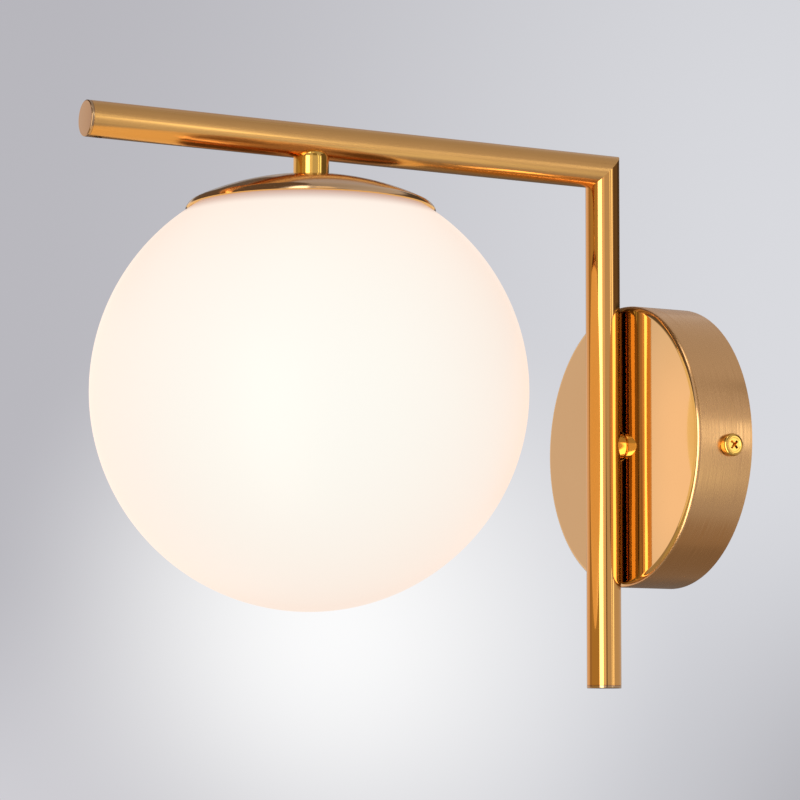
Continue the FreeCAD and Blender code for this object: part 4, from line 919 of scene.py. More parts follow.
@dataclass
class Tubes:
    """Upright and arm, mitred at the top corner, with their plugs and the collar on the stem."""

    wall: float = 1.0 * MM
    corner_edge: float = 1.2 * MM
    plug_disc: float = 1.0 * MM
    plug_edge: float = 0.35 * MM
    plug_spigot: float = 9.0 * MM
    plug_lead: float = 0.6 * MM
    slip: float = 0.05 * MM
    collar_radius: float = 5.4 * MM
    collar_edge: float = 0.6 * MM
    stem: float = 4.0 * MM
    neck_hole: float = 3.75 * MM
    screw_hole: float = 1.6 * MM
    screw_stop: float = 2.0 * MM
    end_edge: float = 0.12 * MM
    mitre_rings: tuple[float, ...] = (0.0, 0.15 * MM, 0.35 * MM, 0.6 * MM)
    sides: int = 160
    collar_sides: int = 96

    def __post_init__(self) -> None:
        """Take the tubes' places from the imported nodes."""
        self.radius = half_width("upright_tube")
        self.bore = self.radius - self.wall
        self.upright_y = middle("upright_tube").y
        self.foot_z = low_high("upright_tube")[0].z
        arm_low = low_high("arm_tube")[0]
        self.arm_z = arm_low.z + self.radius
        self.tip_y = arm_low.y

    def mitre(self, offset: float) -> float:
        """Reach of either tube past the corner's centre, for an offset towards the outer corner.

        Args:
            offset: how far a point of the tube lies towards the corner's outside.

        Returns:
            The reach, rounded off at the corner's edge.
        """
        start = self.radius - self.corner_edge
        if offset <= self.radius - self.corner_edge * (1 - math.sqrt(0.5)):
            return offset
        return start + math.sqrt(max(0.0, self.corner_edge ** 2 - (offset - start) ** 2))

    def skin(self, name: str, upright: bool) -> Piece:
        """One tube as a closed skin with its bore, square at its free end.

        Args:
            name: the piece's name.
            upright: the upright, or else the arm.

        Returns:
            The tube.
        """
        centre, free = (self.arm_z, self.foot_z) if upright else (self.upright_y, self.tip_y)
        shape = bmesh.new()
        loops = [(self.radius - self.end_edge, free), (self.radius, free + self.end_edge)]
        loops += [(self.radius - step, None) for step in self.mitre_rings]
        loops += [(self.bore, None), (self.bore, free)]
        rings = []
        for radius, level in loops:
            ring = []
            for i in range(self.sides):
                turn = 2 * math.pi * i / self.sides
                across, offset = radius * math.cos(turn), radius * math.sin(turn)
                along = centre + self.mitre(offset) if level is None else level
                side = (self.upright_y if upright else self.arm_z) + offset
                ring.append(shape.verts.new((across, side, along) if upright else (across, along, side)))
            rings.append(ring)
        for first, second in zip(rings, rings[1:] + rings[:1]):
            bridge(shape, first, second)
        bmesh.ops.recalc_face_normals(shape, faces=shape.faces)
        return new_piece(name, shape)

    def upright(self) -> Piece:
        """Vertical tube with the stem's hole at its back.

        Returns:
            The upright, dressed.
        """
        piece = self.skin("upright", True)
        bore(piece, Vector((0, self.upright_y, 0)), Vector((0, 2 * self.radius, 0)), self.stem)
        return fit(piece, Body.LAMP, UPRIGHT_BRASS, "upright_tube")

    def arm(self) -> Piece:
        """Horizontal tube with the wire hole over the neck and the screw hole near its tip.

        Returns:
            The arm, dressed.
        """
        piece = self.skin("arm", False)
        down = Vector((0, 0, -2 * self.radius))
        bore(piece, Vector((0, middle("neck_boss").y, self.arm_z)), down, self.neck_hole)
        bore(piece, Vector((0, middle("arm_plug_screw").y, self.arm_z)), down, self.screw_hole)
        return fit(piece, Body.LAMP, ARM_BRASS, "arm_tube")

    def plug_section(self) -> list[Point]:
        """Half section of an end plug, disc at height 0.

        Returns:
            Its corners as (radius, height).
        """
        spigot = self.bore - self.slip
        end = self.plug_disc + self.plug_spigot
        section = [(0.0, 0.0)]
        section += arc((self.radius - self.plug_edge, self.plug_edge), self.plug_edge, -90, 0, steps=8)
        section += [(self.radius, self.plug_disc), (spigot, self.plug_disc), (spigot, end - self.plug_lead),
                    (spigot - self.plug_lead, end), (0.0, end)]
        return section

    def plugs(self) -> None:
        """The plug in the upright's foot and the one in the arm's tip."""
        foot = Vector((0, self.upright_y, low_high("upright_end_plug")[0].z))
        piece = Lathe(foot, segments=self.sides).turn("upright_plug", self.plug_section())
        fit(piece, Body.LAMP, PLUG_BRASS, "upright_end_plug")
        tip = low_high("arm_end_plug")[0].y
        section = [(radius, -height) for radius, height in self.plug_section()]
        lathe = Lathe(Vector((0, tip, self.arm_z)), outward=True, segments=self.sides)
        piece = lathe.turn("arm_plug", section)
        under = Vector((0, middle("arm_plug_screw").y, self.arm_z - 2 * self.radius))
        bore(piece, under, Vector((0, 0, 2 * self.radius - self.screw_stop)), self.screw_hole)
        fit(piece, Body.LAMP, PLUG_BRASS, "arm_end_plug")

    def collar(self) -> Piece:
        """Round collar between canopy and upright, saddled to the tube.

        Returns:
            The collar, dressed.
        """
        back = -low_high("stem_collar")[1].y
        reach = -self.upright_y
        edge = self.collar_radius - self.collar_edge
        section = [(self.stem + self.slip, back), (edge, back)]
        section += arc((edge, back + self.collar_edge), self.collar_edge, -90, 0, steps=8)
        section += [(self.collar_radius, reach), (self.stem + self.slip, reach)]

        def saddle(radius: float, height: float, turn: float) -> float:
            """Stop the collar's front on the upright's surface.

            Args:
                radius: the point's distance from the axis.
                height: its distance from the wall.
                turn: its angle round the axis.

            Returns:
                Its distance from the wall, on the tube where it would lie in it.
            """
            if height < reach:
                return height
            return reach - math.sqrt(self.radius ** 2 - (radius * math.cos(turn)) ** 2)

        lathe = Lathe(Vector(), outward=True, segments=self.collar_sides)
        piece = lathe.turn("stem_collar_ring", section, saddle)
        return fit(piece, Body.LAMP, TURNED_BRASS, "stem_collar")

    def make(self) -> None:
        """Build and dress the tubes and what is on them."""
        self.upright()
        self.arm()
        self.plugs()
        self.collar()
        keep_nodes(BLACK_STEEL, "arm_plug_screw")
        keep_nodes(ZINC_STEEL, "stem_stud")
        keep_nodes(NYLON, "stem_bush")


@dataclass
class Head:
    """Neck under the arm, domed cap, and the nuts and nipple that hold them."""

    shoulder: float = 3.0 * MM
    bore: float = 5.05 * MM
    dome: float = 94.15 * MM
    lip: float = 4.4 * MM
    lip_end: float = 20.0
    sheet: float = 0.8 * MM
    cap_hole: float = 5.1 * MM
    neck_sides: int = 192
    cap_sides: int = 256

    def dome_centre(self) -> float:
        """Height of the dome's centre."""
        return low_high("shade_cap")[1].z - math.sqrt(self.dome ** 2 - self.cap_hole ** 2)

    def neck(self) -> Piece:
        """Short neck: its top follows the arm and is rounded over, its foot follows the dome.

        Returns:
            The neck, dressed.
        """
        radius = half_width("neck_boss")
        arm_radius = half_width("arm_tube")
        arm_z = low_high("arm_tube")[0].z + arm_radius
        level = arm_z - arm_radius
        shoulder = (radius - self.shoulder, level)
        last = math.degrees(math.acos((self.bore - shoulder[0]) / self.shoulder))
        centre = self.dome_centre()
        foot = centre + math.sqrt(self.dome ** 2 - radius ** 2)
        inner_foot = centre + math.sqrt(self.dome ** 2 - self.bore ** 2)
        section = [(self.bore, inner_foot), (radius, foot)] + arc(shoulder, self.shoulder, 0, last, steps=16)

        def saddle(spot_radius: float, height: float, turn: float) -> float:
            """Stop the neck's top on the arm's underside."""
            across = min(arm_radius, abs(spot_radius * math.cos(turn)))
            return min(height, arm_z - math.sqrt(arm_radius ** 2 - across ** 2))

        piece = Lathe(axis_foot("shade_cap"), segments=self.neck_sides).turn("neck", section, saddle)
        return fit(piece, Body.LAMP, TURNED_BRASS, "neck_boss")

    def cap(self) -> Piece:
        """Spun dome with its rounded lip.

        Returns:
            The cap, dressed.
        """
        rim = half_width("shade_cap")
        centre = self.dome_centre()
        lip_radius = rim - self.lip * math.cos(math.radians(self.lip_end))
        lip = (lip_radius, centre + math.sqrt((self.dome - self.lip) ** 2 - lip_radius ** 2))
        meet = math.degrees(math.atan2(lip[1] - centre, lip[0]))
        start = math.degrees(math.acos(self.cap_hole / self.dome))
        inner = self.dome - self.sheet
        inner_start = math.degrees(math.acos(self.cap_hole / inner))
        section = arc((0.0, centre), self.dome, start, meet, steps=64)
        section += arc(lip, self.lip, meet, self.lip_end, steps=24)
        section += arc(lip, self.lip - self.sheet, self.lip_end, meet, steps=16)
        section += arc((0.0, centre), inner, meet, inner_start, steps=48)
        piece = Lathe(axis_foot("shade_cap"), segments=self.cap_sides).turn("cap", section)
        return fit(piece, Body.LAMP, CAP_BRASS, "shade_cap")

    def make(self) -> None:
        """Build and dress the head."""
        self.neck()
        self.cap()
        keep_nodes(ZINC_STEEL, "head_nipple", "cap_nut", "gallery_spacer", "gallery_nut", "gallery_ring")


@dataclass
class Globe:
    """Opal ball, the silicone in its mouth, and the metal ring with its lugs."""

    wall: float = 3.0 * MM
    ring_sheet: float = 1.0 * MM
    lugs: int = 3
    lug_length: float = 2.3 * MM
    lug_width: float = 6.0 * MM
    lug_height: float = 1.5 * MM
    lug_rise: float = 1.8 * MM
    lug_edge: float = 0.25 * MM
    lug_root: float = 0.2 * MM
    first_lug: float = math.radians(90.0)
    ring_edge: float = 0.2 * MM
    ring_sides: int = 160
    bond_sides: int = 128
    rings: int = 112
    segments: int = 224
    weld: float = 1e-6

    def ball(self) -> Piece:
        """Blown ball with a ground mouth: a Geometry Nodes grid bent into a double shell.

        Returns:
            The glass, dressed.
        """
        radius = half_width("glass_globe")
        centre = axis_foot("glass_globe") + Vector((0, 0, low_high("glass_globe")[0].z + radius))
        model = NodeModel("blown_ball")
        tree = model.tree
        outer = model.ask("Outer radius", "NodeSocketFloat", radius)
        wall = model.ask("Wall", "NodeSocketFloat", self.wall)
        mouth = model.ask("Mouth radius", "NodeSocketFloat", half_width("collar_bond"))
        place = model.ask("Centre", "NodeSocketVector", centre)
        around = model.ask("Segments", "NodeSocketInt", self.segments)
        down = model.ask("Rings", "NodeSocketInt", self.rings)
        rows = add_node(tree, "ShaderNodeMath", {0: down, 1: 2.0}, operation="MULTIPLY")
        columns = add_node(tree, "ShaderNodeMath", {0: around, 1: 1.0})
        grid = add_node(tree, "GeometryNodeMeshGrid", {"Size X": 1.0, "Size Y": 1.0,
                                                       "Vertices X": columns,
                                                       "Vertices Y": rows})
        flat = add_node(tree, "ShaderNodeSeparateXYZ", {0: add_node(tree, "GeometryNodeInputPosition")})
        turn = add_node(tree, "ShaderNodeMath", {0: flat.outputs["X"], 1: 2 * math.pi}, operation="MULTIPLY")
        last = add_node(tree, "ShaderNodeMath", {0: rows, 1: 1.0}, operation="SUBTRACT")
        shifted = add_node(tree, "ShaderNodeMath", {0: flat.outputs["Y"], 1: 0.5})
        row = add_node(tree, "ShaderNodeMath", {0: shifted, 1: last}, operation="MULTIPLY")
        back = add_node(tree, "ShaderNodeMath", {0: last, 1: row}, operation="SUBTRACT")
        climb = add_node(tree, "ShaderNodeMath", {0: row, 1: back}, operation="MINIMUM")
        top = add_node(tree, "ShaderNodeMath", {0: down, 1: 1.0}, operation="SUBTRACT")
        share = add_node(tree, "ShaderNodeMath", {0: climb, 1: top}, operation="DIVIDE")
        half = add_node(tree, "ShaderNodeMath", {0: down, 1: 0.5}, operation="SUBTRACT")
        inside = add_node(tree, "ShaderNodeMath", {0: row, 1: half}, operation="GREATER_THAN")
        thin = add_node(tree, "ShaderNodeMath", {0: inside, 1: wall}, operation="MULTIPLY")
        size = add_node(tree, "ShaderNodeMath", {0: outer, 1: thin}, operation="SUBTRACT")
        ratio = add_node(tree, "ShaderNodeMath", {0: mouth, 1: size}, operation="DIVIDE")
        opening = add_node(tree, "ShaderNodeMath", {0: ratio}, operation="ARCSINE")
        swing = add_node(tree, "ShaderNodeMath", {0: math.pi, 1: opening}, operation="SUBTRACT")
        used = add_node(tree, "ShaderNodeMath", {0: swing, 1: share}, operation="MULTIPLY")
        polar = add_node(tree, "ShaderNodeMath", {0: math.pi, 1: used}, operation="SUBTRACT")
        sine = add_node(tree, "ShaderNodeMath", {0: polar}, operation="SINE")
        level = add_node(tree, "ShaderNodeMath", {0: polar}, operation="COSINE")
        cosine = add_node(tree, "ShaderNodeMath", {0: turn}, operation="COSINE")
        swept = add_node(tree, "ShaderNodeMath", {0: turn}, operation="SINE")
        across = add_node(tree, "ShaderNodeMath", {0: sine, 1: cosine}, operation="MULTIPLY")
        side = add_node(tree, "ShaderNodeMath", {0: sine, 1: swept}, operation="MULTIPLY")
        unit = add_node(tree, "ShaderNodeCombineXYZ", {0: across, 1: side,
                                                       2: level})
        spot = add_node(tree, "ShaderNodeVectorMath", {0: unit, "Scale": size},
                        operation="SCALE")
        moved = add_node(tree, "ShaderNodeVectorMath", {0: spot, 1: place})
        bent = add_node(tree, "GeometryNodeSetPosition", {"Geometry": grid.outputs["Mesh"],
                                                          "Position": moved})
        closed = add_node(tree, "GeometryNodeMergeByDistance", {"Geometry": bent, "Distance": self.weld})
        piece = model.build("globe_glass", closed, GLOBE_OPAL)
        return fit(piece, Body.GLOBE, GLOBE_OPAL, "glass_globe")

    def bond(self) -> Piece:
        """Silicone between glass and ring.

        Returns:
            The bond, dressed.
        """
        low, high = low_high("collar_bond")
        outer = half_width("collar_bond")
        inner = half_width("globe_collar")
        section = [(inner, low.z), (outer, low.z), (outer, high.z), (inner, high.z)]
        piece = Lathe(axis_foot("glass_globe"), segments=self.bond_sides).turn("mouth_bond", section)
        return fit(piece, Body.GLOBE, SILICONE, "collar_bond")

    def lug(self) -> Piece:
        """One lug, along -X from the ring's wall, rounded at its corners.

        Returns:
            One lug, for ring_of to repeat.
        """
        shape = bmesh.new()
        bmesh.ops.create_cube(shape, size=1.0)
        size = Vector((self.lug_length, self.lug_width, self.lug_height))
        bmesh.ops.scale(shape, verts=shape.verts, vec=size)
        bmesh.ops.translate(shape, verts=shape.verts, vec=(-self.lug_length / 2, 0, self.lug_height / 2))
        bmesh.ops.bevel(shape, geom=list(shape.edges), offset=self.lug_edge, segments=2, affect="EDGES")
        return new_piece("lug", shape)

    def ring(self) -> Piece:
        """Metal ring with its three lugs.

        Returns:
            The ring, dressed, without its lugs.
        """
        low, high = low_high("globe_collar")
        outer = half_width("globe_collar")
        inner = outer - self.ring_sheet
        soft = self.ring_edge
        section = [(inner, low.z), (outer - soft, low.z), (outer, low.z + soft), (outer, high.z - soft),
                   (outer - soft, high.z), (inner, high.z)]
        axis = axis_foot("glass_globe")
        piece = Lathe(axis, segments=self.ring_sides).turn("mouth_ring", section)
        centre = axis + Vector((0, 0, low.z + self.lug_rise))
        lugs = ring_of("mouth_ring_lugs", self.lug(), self.lugs, inner + self.lug_root, centre,
                       self.first_lug, RING_ALUMINIUM)
        fit(lugs, Body.GLOBE, RING_ALUMINIUM)
        return fit(piece, Body.GLOBE, RING_ALUMINIUM, "globe_collar")

    def make(self) -> None:
        """Build and dress everything that turns with the globe."""
        self.ball()
        self.bond()
        self.ring()


@dataclass
class Bulb:
    """Small ball lamp inside the globe."""

    def make(self) -> None:
        """Dress the bulb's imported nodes."""
        keep_nodes(BULB_OPAL, "bulb_dome")
        keep_nodes(BULB_PLASTIC, "bulb_body")
        keep_nodes(SHELL_NICKEL, "bulb_screw_shell")
        keep_nodes(BLACK_GLASS, "bulb_tip_insulator")
        keep_nodes(SOLDER, "bulb_tip_contact")


@dataclass
class Lampholder:
    """Lampholder under the gallery."""

    def make(self) -> None:
        """Dress the lampholder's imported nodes."""
        keep_nodes(PHENOLIC, "holder_cap", "holder_skirt")
        keep_nodes(STEATITE, "holder_insert")
        keep_nodes(PLAIN_BRASS, "holder_terminals", "holder_screw_shell", "holder_centre_contact")
        keep_nodes(BRIGHT_STEEL, "holder_terminal_screws")


@dataclass
class WallPlate:
    """Bracket, cable grommet, terminal block, earth and wires inside the canopy."""

    def make(self) -> None:
        """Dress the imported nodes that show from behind."""
        keep_nodes(ZINC_STEEL, "wall_bracket", "stem_washer", "earth_washer")
        keep_nodes(RUBBER, "cable_grommet")
        keep_nodes(NYLON, "terminal_block")
        keep_nodes(PLAIN_BRASS, "terminal_clamps", "stem_nut")
        keep_nodes(BRIGHT_STEEL, "terminal_screws", "block_screws", "earth_screw")
        keep_nodes(SOLDER, "earth_ring")
        keep_nodes(PVC_BROWN, "wire_live")
        keep_nodes(PVC_BLUE, "wire_neutral")
        keep_nodes(PVC_EARTH, "wire_earth")


@dataclass(frozen=True)
class Panel:
    """A bright or dark panel of the studio, as the metal mirrors it.

    Azimuth 0 is in front of the wall lamp, 90 to the viewer's right of it, both in degrees. The sides
    fade over the edge and the ends over the fade. The whole panel is lifted by the rise, and the slope
    is how far its middle climbs for each degree of azimuth.
    """

    azimuth: float
    half_width: float
    edge: float
    low: float
    high: float
    fade: float
    tint: str
    level: float
    rise: float = 0.0
    slope: float = 0.0


# Far left and left, mirrored by the upright's left side and the canopy's face
LEFT_PANELS = (
    Panel(-117, 13, 5, -60, 12, 8, "D8D0C8", 0.25),
    Panel(-121, 8, 1.5, 20, 55, 6, "FFF4EA", 0.45),
    Panel(-78, 24, 4, -60, 16, 9, "FFEEDE", 0.86),
    Panel(-60.5, 2.5, 2.5, 0, 12, 6, "FFEEE6", 0.74),
    Panel(-54, 0.8, 4, 3.5, 6, 4, "FFE6D2", 1.14),
    Panel(-41, 10, 3, -60, 16, 9, "FFE0AC", 0.40),
)
# In front of the lamp, with the bright strip that the tubes show as their main highlight
FRONT_PANELS = (
    Panel(-2, 27, 3, -75, 16, 9, "FFE29B", 0.49),
    Panel(42, 12, 2, -60, 14, 10, "FFFCF0", 4.2),
    Panel(63.5, 8, 2, -60, 16, 9, "FFF8EE", 0.95),
    Panel(77.5, 2.5, 1.5, -60, 3, 4, "D8D0C8", 0.18),
)
# Overhead: the dark ceiling over the cap and the patches of light in it
HIGH_PANELS = (
    Panel(-43.8, 68.8, 1.0, 23, 100, 6, "FFDCB8", 0.13),
    Panel(48, 10, 4, 55, 73, 4, "FFFFF6", 2.6),
    Panel(84, 12, 5, 58, 70, 5, "FFF0D2", 0.95),
    Panel(92, 14, 4, 24, 50, 7, "FFF0D0", 0.28),
)
# Behind the camera's right, mirrored along the arm and round the canopy's band
RIGHT_PANELS = (
    Panel(159, 21, 4, 8, 38, 6, "FFE8C8", 0.15),
    Panel(-160, 20, 4, 8, 38, 6, "FFE8C8", 0.08),
    Panel(158, 22, 6, -90, -54, 10, "FFEBD2", 0.33),
    Panel(-150, 30, 6, -90, -38, 10, "FFEBD2", 0.24),
    Panel(112.5, 4, 1.0, -8, 8, 5.4, "F9FFEC", 1.9, 6.3, -5.4),
    Panel(120.3, 4, 1.5, -8, 8, 5.4, "F9FFEC", 1.18, -24.0, -2.2),
    Panel(126.2, 3, 1.2, 1, 13, 4, "F9FFF6", 1.95),
)
PANELS = LEFT_PANELS + FRONT_PANELS + HIGH_PANELS + RIGHT_PANELS


@dataclass(frozen=True)
class Pool:
    """A soft round pool of tone on the backdrop, which only the eye sees.

    Aside is its middle's azimuth from straight ahead. It, the height, and the reach from the middle
    to where the pool ends are in degrees. Most is how much of the tint there is in the middle.
    """

    aside: float
    height: float
    reach: float
    tint: str
    most: float


# A grey shade at the left, a pale patch at the right, and the white light right behind the globe
POOLS = (
    Pool(-10.5, -3.5, 9.5, "A4A3A9", 1.0),
    Pool(8.5, -2.5, 6.0, "DCDBE0", 0.7),
    Pool(1.3, 2.0, 7.2, "FFFFFF", 0.92),
)


@dataclass(frozen=True)
class Paper(Finish):
    """Matt white paper of the floor: it shows no shine, and fades out before its edge."""

    name: str
    colour: str
    fade_from: float
    fade_to: float

    def surface(self, tree: Tree) -> Node:
        """Diffuse paper that turns clear with the distance from the middle.

        Args:
            tree: the material's tree.

        Returns:
            The paper's shader node.
        """
        place = add_node(tree, "ShaderNodeTexCoord").outputs["Object"]
        flat = add_node(tree, "ShaderNodeVectorMath", {0: place, 1: (1.0, 1.0, 0.0)}, operation="MULTIPLY")
        reach = add_node(tree, "ShaderNodeVectorMath", {0: flat}, operation="LENGTH")
        fade = add_node(tree, "ShaderNodeMapRange", {"Value": reach, "From Min": self.fade_from,
                                                     "From Max": self.fade_to},
                        interpolation_type="SMOOTHSTEP")
        paper = add_node(tree, "ShaderNodeBsdfDiffuse", {"Color": linear(self.colour)})
        clear = add_node(tree, "ShaderNodeBsdfTransparent")
        return add_node(tree, "ShaderNodeMixShader", {0: fade, 1: paper, 2: clear})


def towards(azimuth: float, height: float) -> Vector:
    """Direction of an azimuth and a height, both in degrees, as a Panel counts them."""
    side, lift = math.radians(azimuth), math.radians(height)
    return Vector((math.sin(side) * math.cos(lift), -math.cos(side) * math.cos(lift), math.sin(lift)))


@dataclass
class Surround:
    """The studio around the lamp, as a world that metal, pale parts and the eye each see their own way."""

    ahead: float
    plain_level: float = 0.75
    metal_stops: tuple[tuple[float, float], ...] = (
        (-90, 0.28), (-50, 0.45), (-20, 0.52), (5, 0.62), (35, 0.57), (90, 0.36))
    wall_left: str = "B9B8BE"
    wall_right: str = "D9DADF"
    wall_half_turn: float = 8.0
    wall_high: str = "A2A1A7"
    high_from: float = 8.0
    high_to: float = 30.0
    high_most: float = 0.5

    def metal(self, azimuth: Node, height: Node) -> Node:
        """Grey surround from below to above, with the panels laid over it.

        Args:
            azimuth: the direction's azimuth in degrees.
            height: its height in degrees.

        Returns:
            A node with the surround's colour.
        """
        ramp = add_node(self.tree, "ShaderNodeValToRGB", {0: add_node(
            self.tree, "ShaderNodeMapRange", {"Value": height, "From Min": -90.0, "From Max": 90.0})})
        items = ramp.color_ramp.elements
        while len(items) < len(self.metal_stops):
            items.new(0.5)
        for item, (stop, level) in zip(items, self.metal_stops):
            item.position = (stop + 90) / 180
            item.color = linear("FFFFFF", level)
        colour = ramp
        for panel in PANELS:
            colour = self.lay_panel(colour, azimuth, height, panel)
        return colour

    def lay_panel(self, under: Node, azimuth: Node, height: Node, panel: Panel) -> Node:
        """Lay one panel over the surround.

        Args:
            under: the colour so far.
            azimuth: the direction's azimuth in degrees.
            height: its height in degrees.
            panel: the panel.

        Returns:
            A node with the new colour.
        """
        tree = self.tree
        off = add_node(tree, "ShaderNodeMath", {0: azimuth, 1: panel.azimuth}, operation="SUBTRACT")
        away = add_node(tree, "ShaderNodeMath", {0: off}, operation="ABSOLUTE")
        across = add_node(tree, "ShaderNodeMapRange",
                          {"Value": away, "From Min": panel.half_width + panel.edge,
                           "From Max": panel.half_width}, interpolation_type="SMOOTHSTEP")
        middle_height = (panel.low + panel.high) / 2 + panel.rise
        half_height = (panel.high - panel.low) / 2
        level = add_node(tree, "ShaderNodeMath", {0: off, 1: panel.slope, 2: middle_height},
                         operation="MULTIPLY_ADD")
        rise = add_node(tree, "ShaderNodeMath", {0: height, 1: level}, operation="SUBTRACT")
        size = add_node(tree, "ShaderNodeMath", {0: rise}, operation="ABSOLUTE")
        upright = add_node(tree, "ShaderNodeMapRange",
                           {"Value": size, "From Min": half_height + panel.fade, "From Max": half_height},
                           interpolation_type="SMOOTHSTEP")
        cover = add_node(tree, "ShaderNodeMath", {0: across, 1: upright}, operation="MULTIPLY")
        return add_node(tree, "ShaderNodeMix", {0: cover, 6: under, 7: linear(panel.tint, panel.level)},
                        data_type="RGBA")

    def backdrop(self, way: Socket, azimuth: Node, height: Node) -> Node:
        """Pale grey backdrop for the eye, paler to the right, with a soft pool of light behind the globe.

        Args:
            way: the direction.
            azimuth: its azimuth in degrees.
            height: its height in degrees.

        Returns:
            A node with the backdrop's colour.
        """
        across = add_node(self.tree, "ShaderNodeMapRange",
                          {"Value": azimuth, "From Min": self.ahead + self.wall_half_turn,
                           "From Max": self.ahead - self.wall_half_turn}, interpolation_type="SMOOTHSTEP")
        tone = add_node(self.tree, "ShaderNodeMix",
                        {0: across, 6: linear(self.wall_left), 7: linear(self.wall_right)}, data_type="RGBA")
        above = add_node(self.tree, "ShaderNodeMapRange",
                         {"Value": height, "From Min": self.high_from, "From Max": self.high_to,
                          "To Max": self.high_most}, interpolation_type="SMOOTHSTEP")
        tone = add_node(self.tree, "ShaderNodeMix", {0: above, 6: tone, 7: linear(self.wall_high)},
                        data_type="RGBA")
        for pool in POOLS:
            tone = self.lay_pool(tone, way, pool)
        return tone

    def lay_pool(self, under: Node, way: Socket, pool: Pool) -> Node:
        """Lay one pool of tone over the backdrop.

        Args:
            under: the colour so far.
            way: the direction.
            pool: the pool.

        Returns:
            A node with the new colour.
        """
        aim = towards(self.ahead + pool.aside, pool.height)
        away = add_node(self.tree, "ShaderNodeVectorMath", {0: way, 1: aim}, operation="DISTANCE")
        cover = add_node(self.tree, "ShaderNodeMapRange",
                         {"Value": away, "From Min": math.radians(pool.reach), "From Max": 0.0,
                          "To Max": pool.most}, interpolation_type="SMOOTHSTEP")
        return add_node(self.tree, "ShaderNodeMix", {0: cover, 6: under, 7: linear(pool.tint)},
                        data_type="RGBA")

    def make(self) -> None:
        """Build the world: panels for metal, one level for the pale parts, the backdrop for the eye."""
        world = bpy.data.worlds.new("studio")
        bpy.context.scene.world = world
        world.use_nodes = True
        self.tree = tree = world.node_tree
        tree.nodes.clear()
        way = add_node(tree, "ShaderNodeTexCoord").outputs["Generated"]
        part = add_node(tree, "ShaderNodeSeparateXYZ", {0: way}).outputs
        front = add_node(tree, "ShaderNodeMath", {0: part["Y"], 1: -1.0}, operation="MULTIPLY")
        turn = add_node(tree, "ShaderNodeMath", {0: part["X"], 1: front}, operation="ARCTAN2")
        azimuth = add_node(tree, "ShaderNodeMath", {0: turn}, operation="DEGREES")
        lift = add_node(tree, "ShaderNodeMath", {0: part["Z"]}, operation="ARCSINE")
        height = add_node(tree, "ShaderNodeMath", {0: lift}, operation="DEGREES")
        ray = add_node(tree, "ShaderNodeLightPath").outputs
        lit = add_node(tree, "ShaderNodeMix", {0: ray["Is Glossy Ray"], 6: linear("FFFFFF", self.plain_level),
                                               7: self.metal(azimuth, height)}, data_type="RGBA")
        direct = add_node(tree, "ShaderNodeMath", {0: ray["Is Camera Ray"], 1: ray["Is Transmission Ray"]},
                          operation="MAXIMUM")
        whole = add_node(tree, "ShaderNodeMix", {0: direct, 6: lit, 7: self.backdrop(way, azimuth, height)},
                         data_type="RGBA")
        glow = add_node(tree, "ShaderNodeBackground", {"Color": whole, "Strength": 1.0})
        add_node(tree, "ShaderNodeOutputWorld", {"Surface": glow})


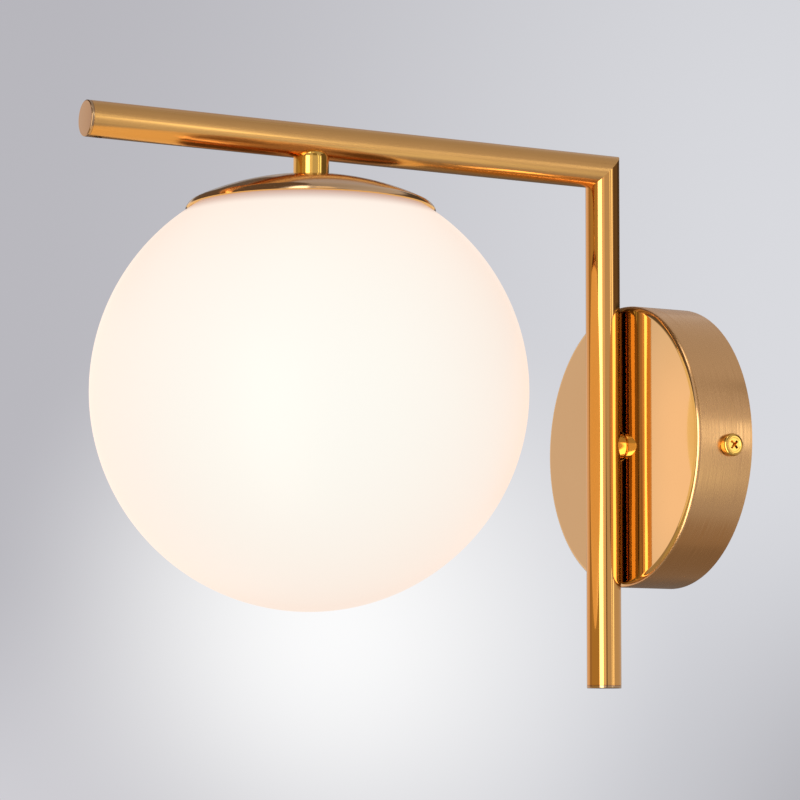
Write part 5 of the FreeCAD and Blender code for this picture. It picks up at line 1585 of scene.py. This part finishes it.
@dataclass
class Studio:
    """Camera at the photograph's viewing angle, pale surround, floor and soft lights."""

    place: tuple[float, float, float] = (0.90763, -0.58867, -0.10128)
    azimuth: float = 62.303
    elevation: float = -6.304
    roll: float = 0.223
    lens: float = 133.82
    sensor: float = 36.0
    floor_z: float = -0.62
    floor_radius: float = 6.0
    floor_sides: int = 96
    floor_fade_from: float = 2.1
    floor_fade_to: float = 5.7
    lit_spot: tuple[float, float, float] = (0.0, -0.12, 0.0)

    def camera(self) -> None:
        """Add the camera."""
        data = bpy.data.cameras.new("camera")
        data.sensor_width = self.sensor
        data.lens = self.lens
        camera = bpy.data.objects.new("camera", data)
        side, roll = math.radians(self.azimuth), math.radians(self.roll)
        back = towards(self.azimuth, self.elevation)
        level = Vector((math.cos(side), math.sin(side), 0.0))
        up = back.cross(level)
        right = level * math.cos(roll) + up * math.sin(roll)
        above = up * math.cos(roll) - level * math.sin(roll)
        stand = Matrix((right, above, back)).transposed().to_4x4()
        stand.translation = self.place
        camera.matrix_world = stand
        bpy.context.scene.collection.objects.link(camera)
        bpy.context.scene.camera = camera

    def floor(self) -> None:
        """Pale floor far below, which metal doesn't mirror, since the panels stand lower than it."""
        shape = bmesh.new()
        bmesh.ops.create_circle(shape, cap_ends=True, segments=self.floor_sides, radius=self.floor_radius)
        bmesh.ops.translate(shape, verts=shape.verts, vec=(0, 0, self.floor_z))
        floor = new_piece("floor", shape)
        Paper("floor_paper", "DEDEE2", self.floor_fade_from, self.floor_fade_to).dress(floor)
        floor.visible_glossy = False

    def light(self, name: str, spot: tuple[float, float, float], size: float, power: float,
              tint: str) -> None:
        """Add one soft square light that faces the lamp and isn't mirrored in it.

        Args:
            name: the light's name.
            spot: where it stands.
            size: length of its sides.
            power: watts.
            tint: its colour.
        """
        data = bpy.data.lights.new(name, "AREA")
        data.size = size
        data.energy = power
        data.color = linear(tint)[:3]
        lamp = bpy.data.objects.new(name, data)
        lamp.location = spot
        lamp.rotation_euler = (Vector(spot) - Vector(self.lit_spot)).to_track_quat("Z", "Y").to_euler()
        lamp.visible_camera = False
        lamp.visible_glossy = False
        bpy.context.scene.collection.objects.link(lamp)

    def make(self) -> None:
        """Set the stage, with a high key light and a low fill."""
        self.camera()
        Surround(ahead=self.azimuth - 180.0).make()
        self.floor()
        self.light("key", (0.9, -1.3, 1.5), 1.2, 14.0, "FFF8F0")
        self.light("fill", (-1.4, -1.0, 0.6), 1.4, 8.0, "F4F6FF")


def main() -> None:
    """Set the stage, and build each sub-assembly in order."""
    logging.basicConfig(level=logging.INFO, format="%(name)s %(message)s")
    bpy.context.scene.view_settings.view_transform = "Standard"
    Studio().make()
    for part in (Canopy(), Tubes(), Head(), Globe(), Bulb(), Lampholder(), WallPlate()):
        part.make()


if __name__ == "__main__":
    main()
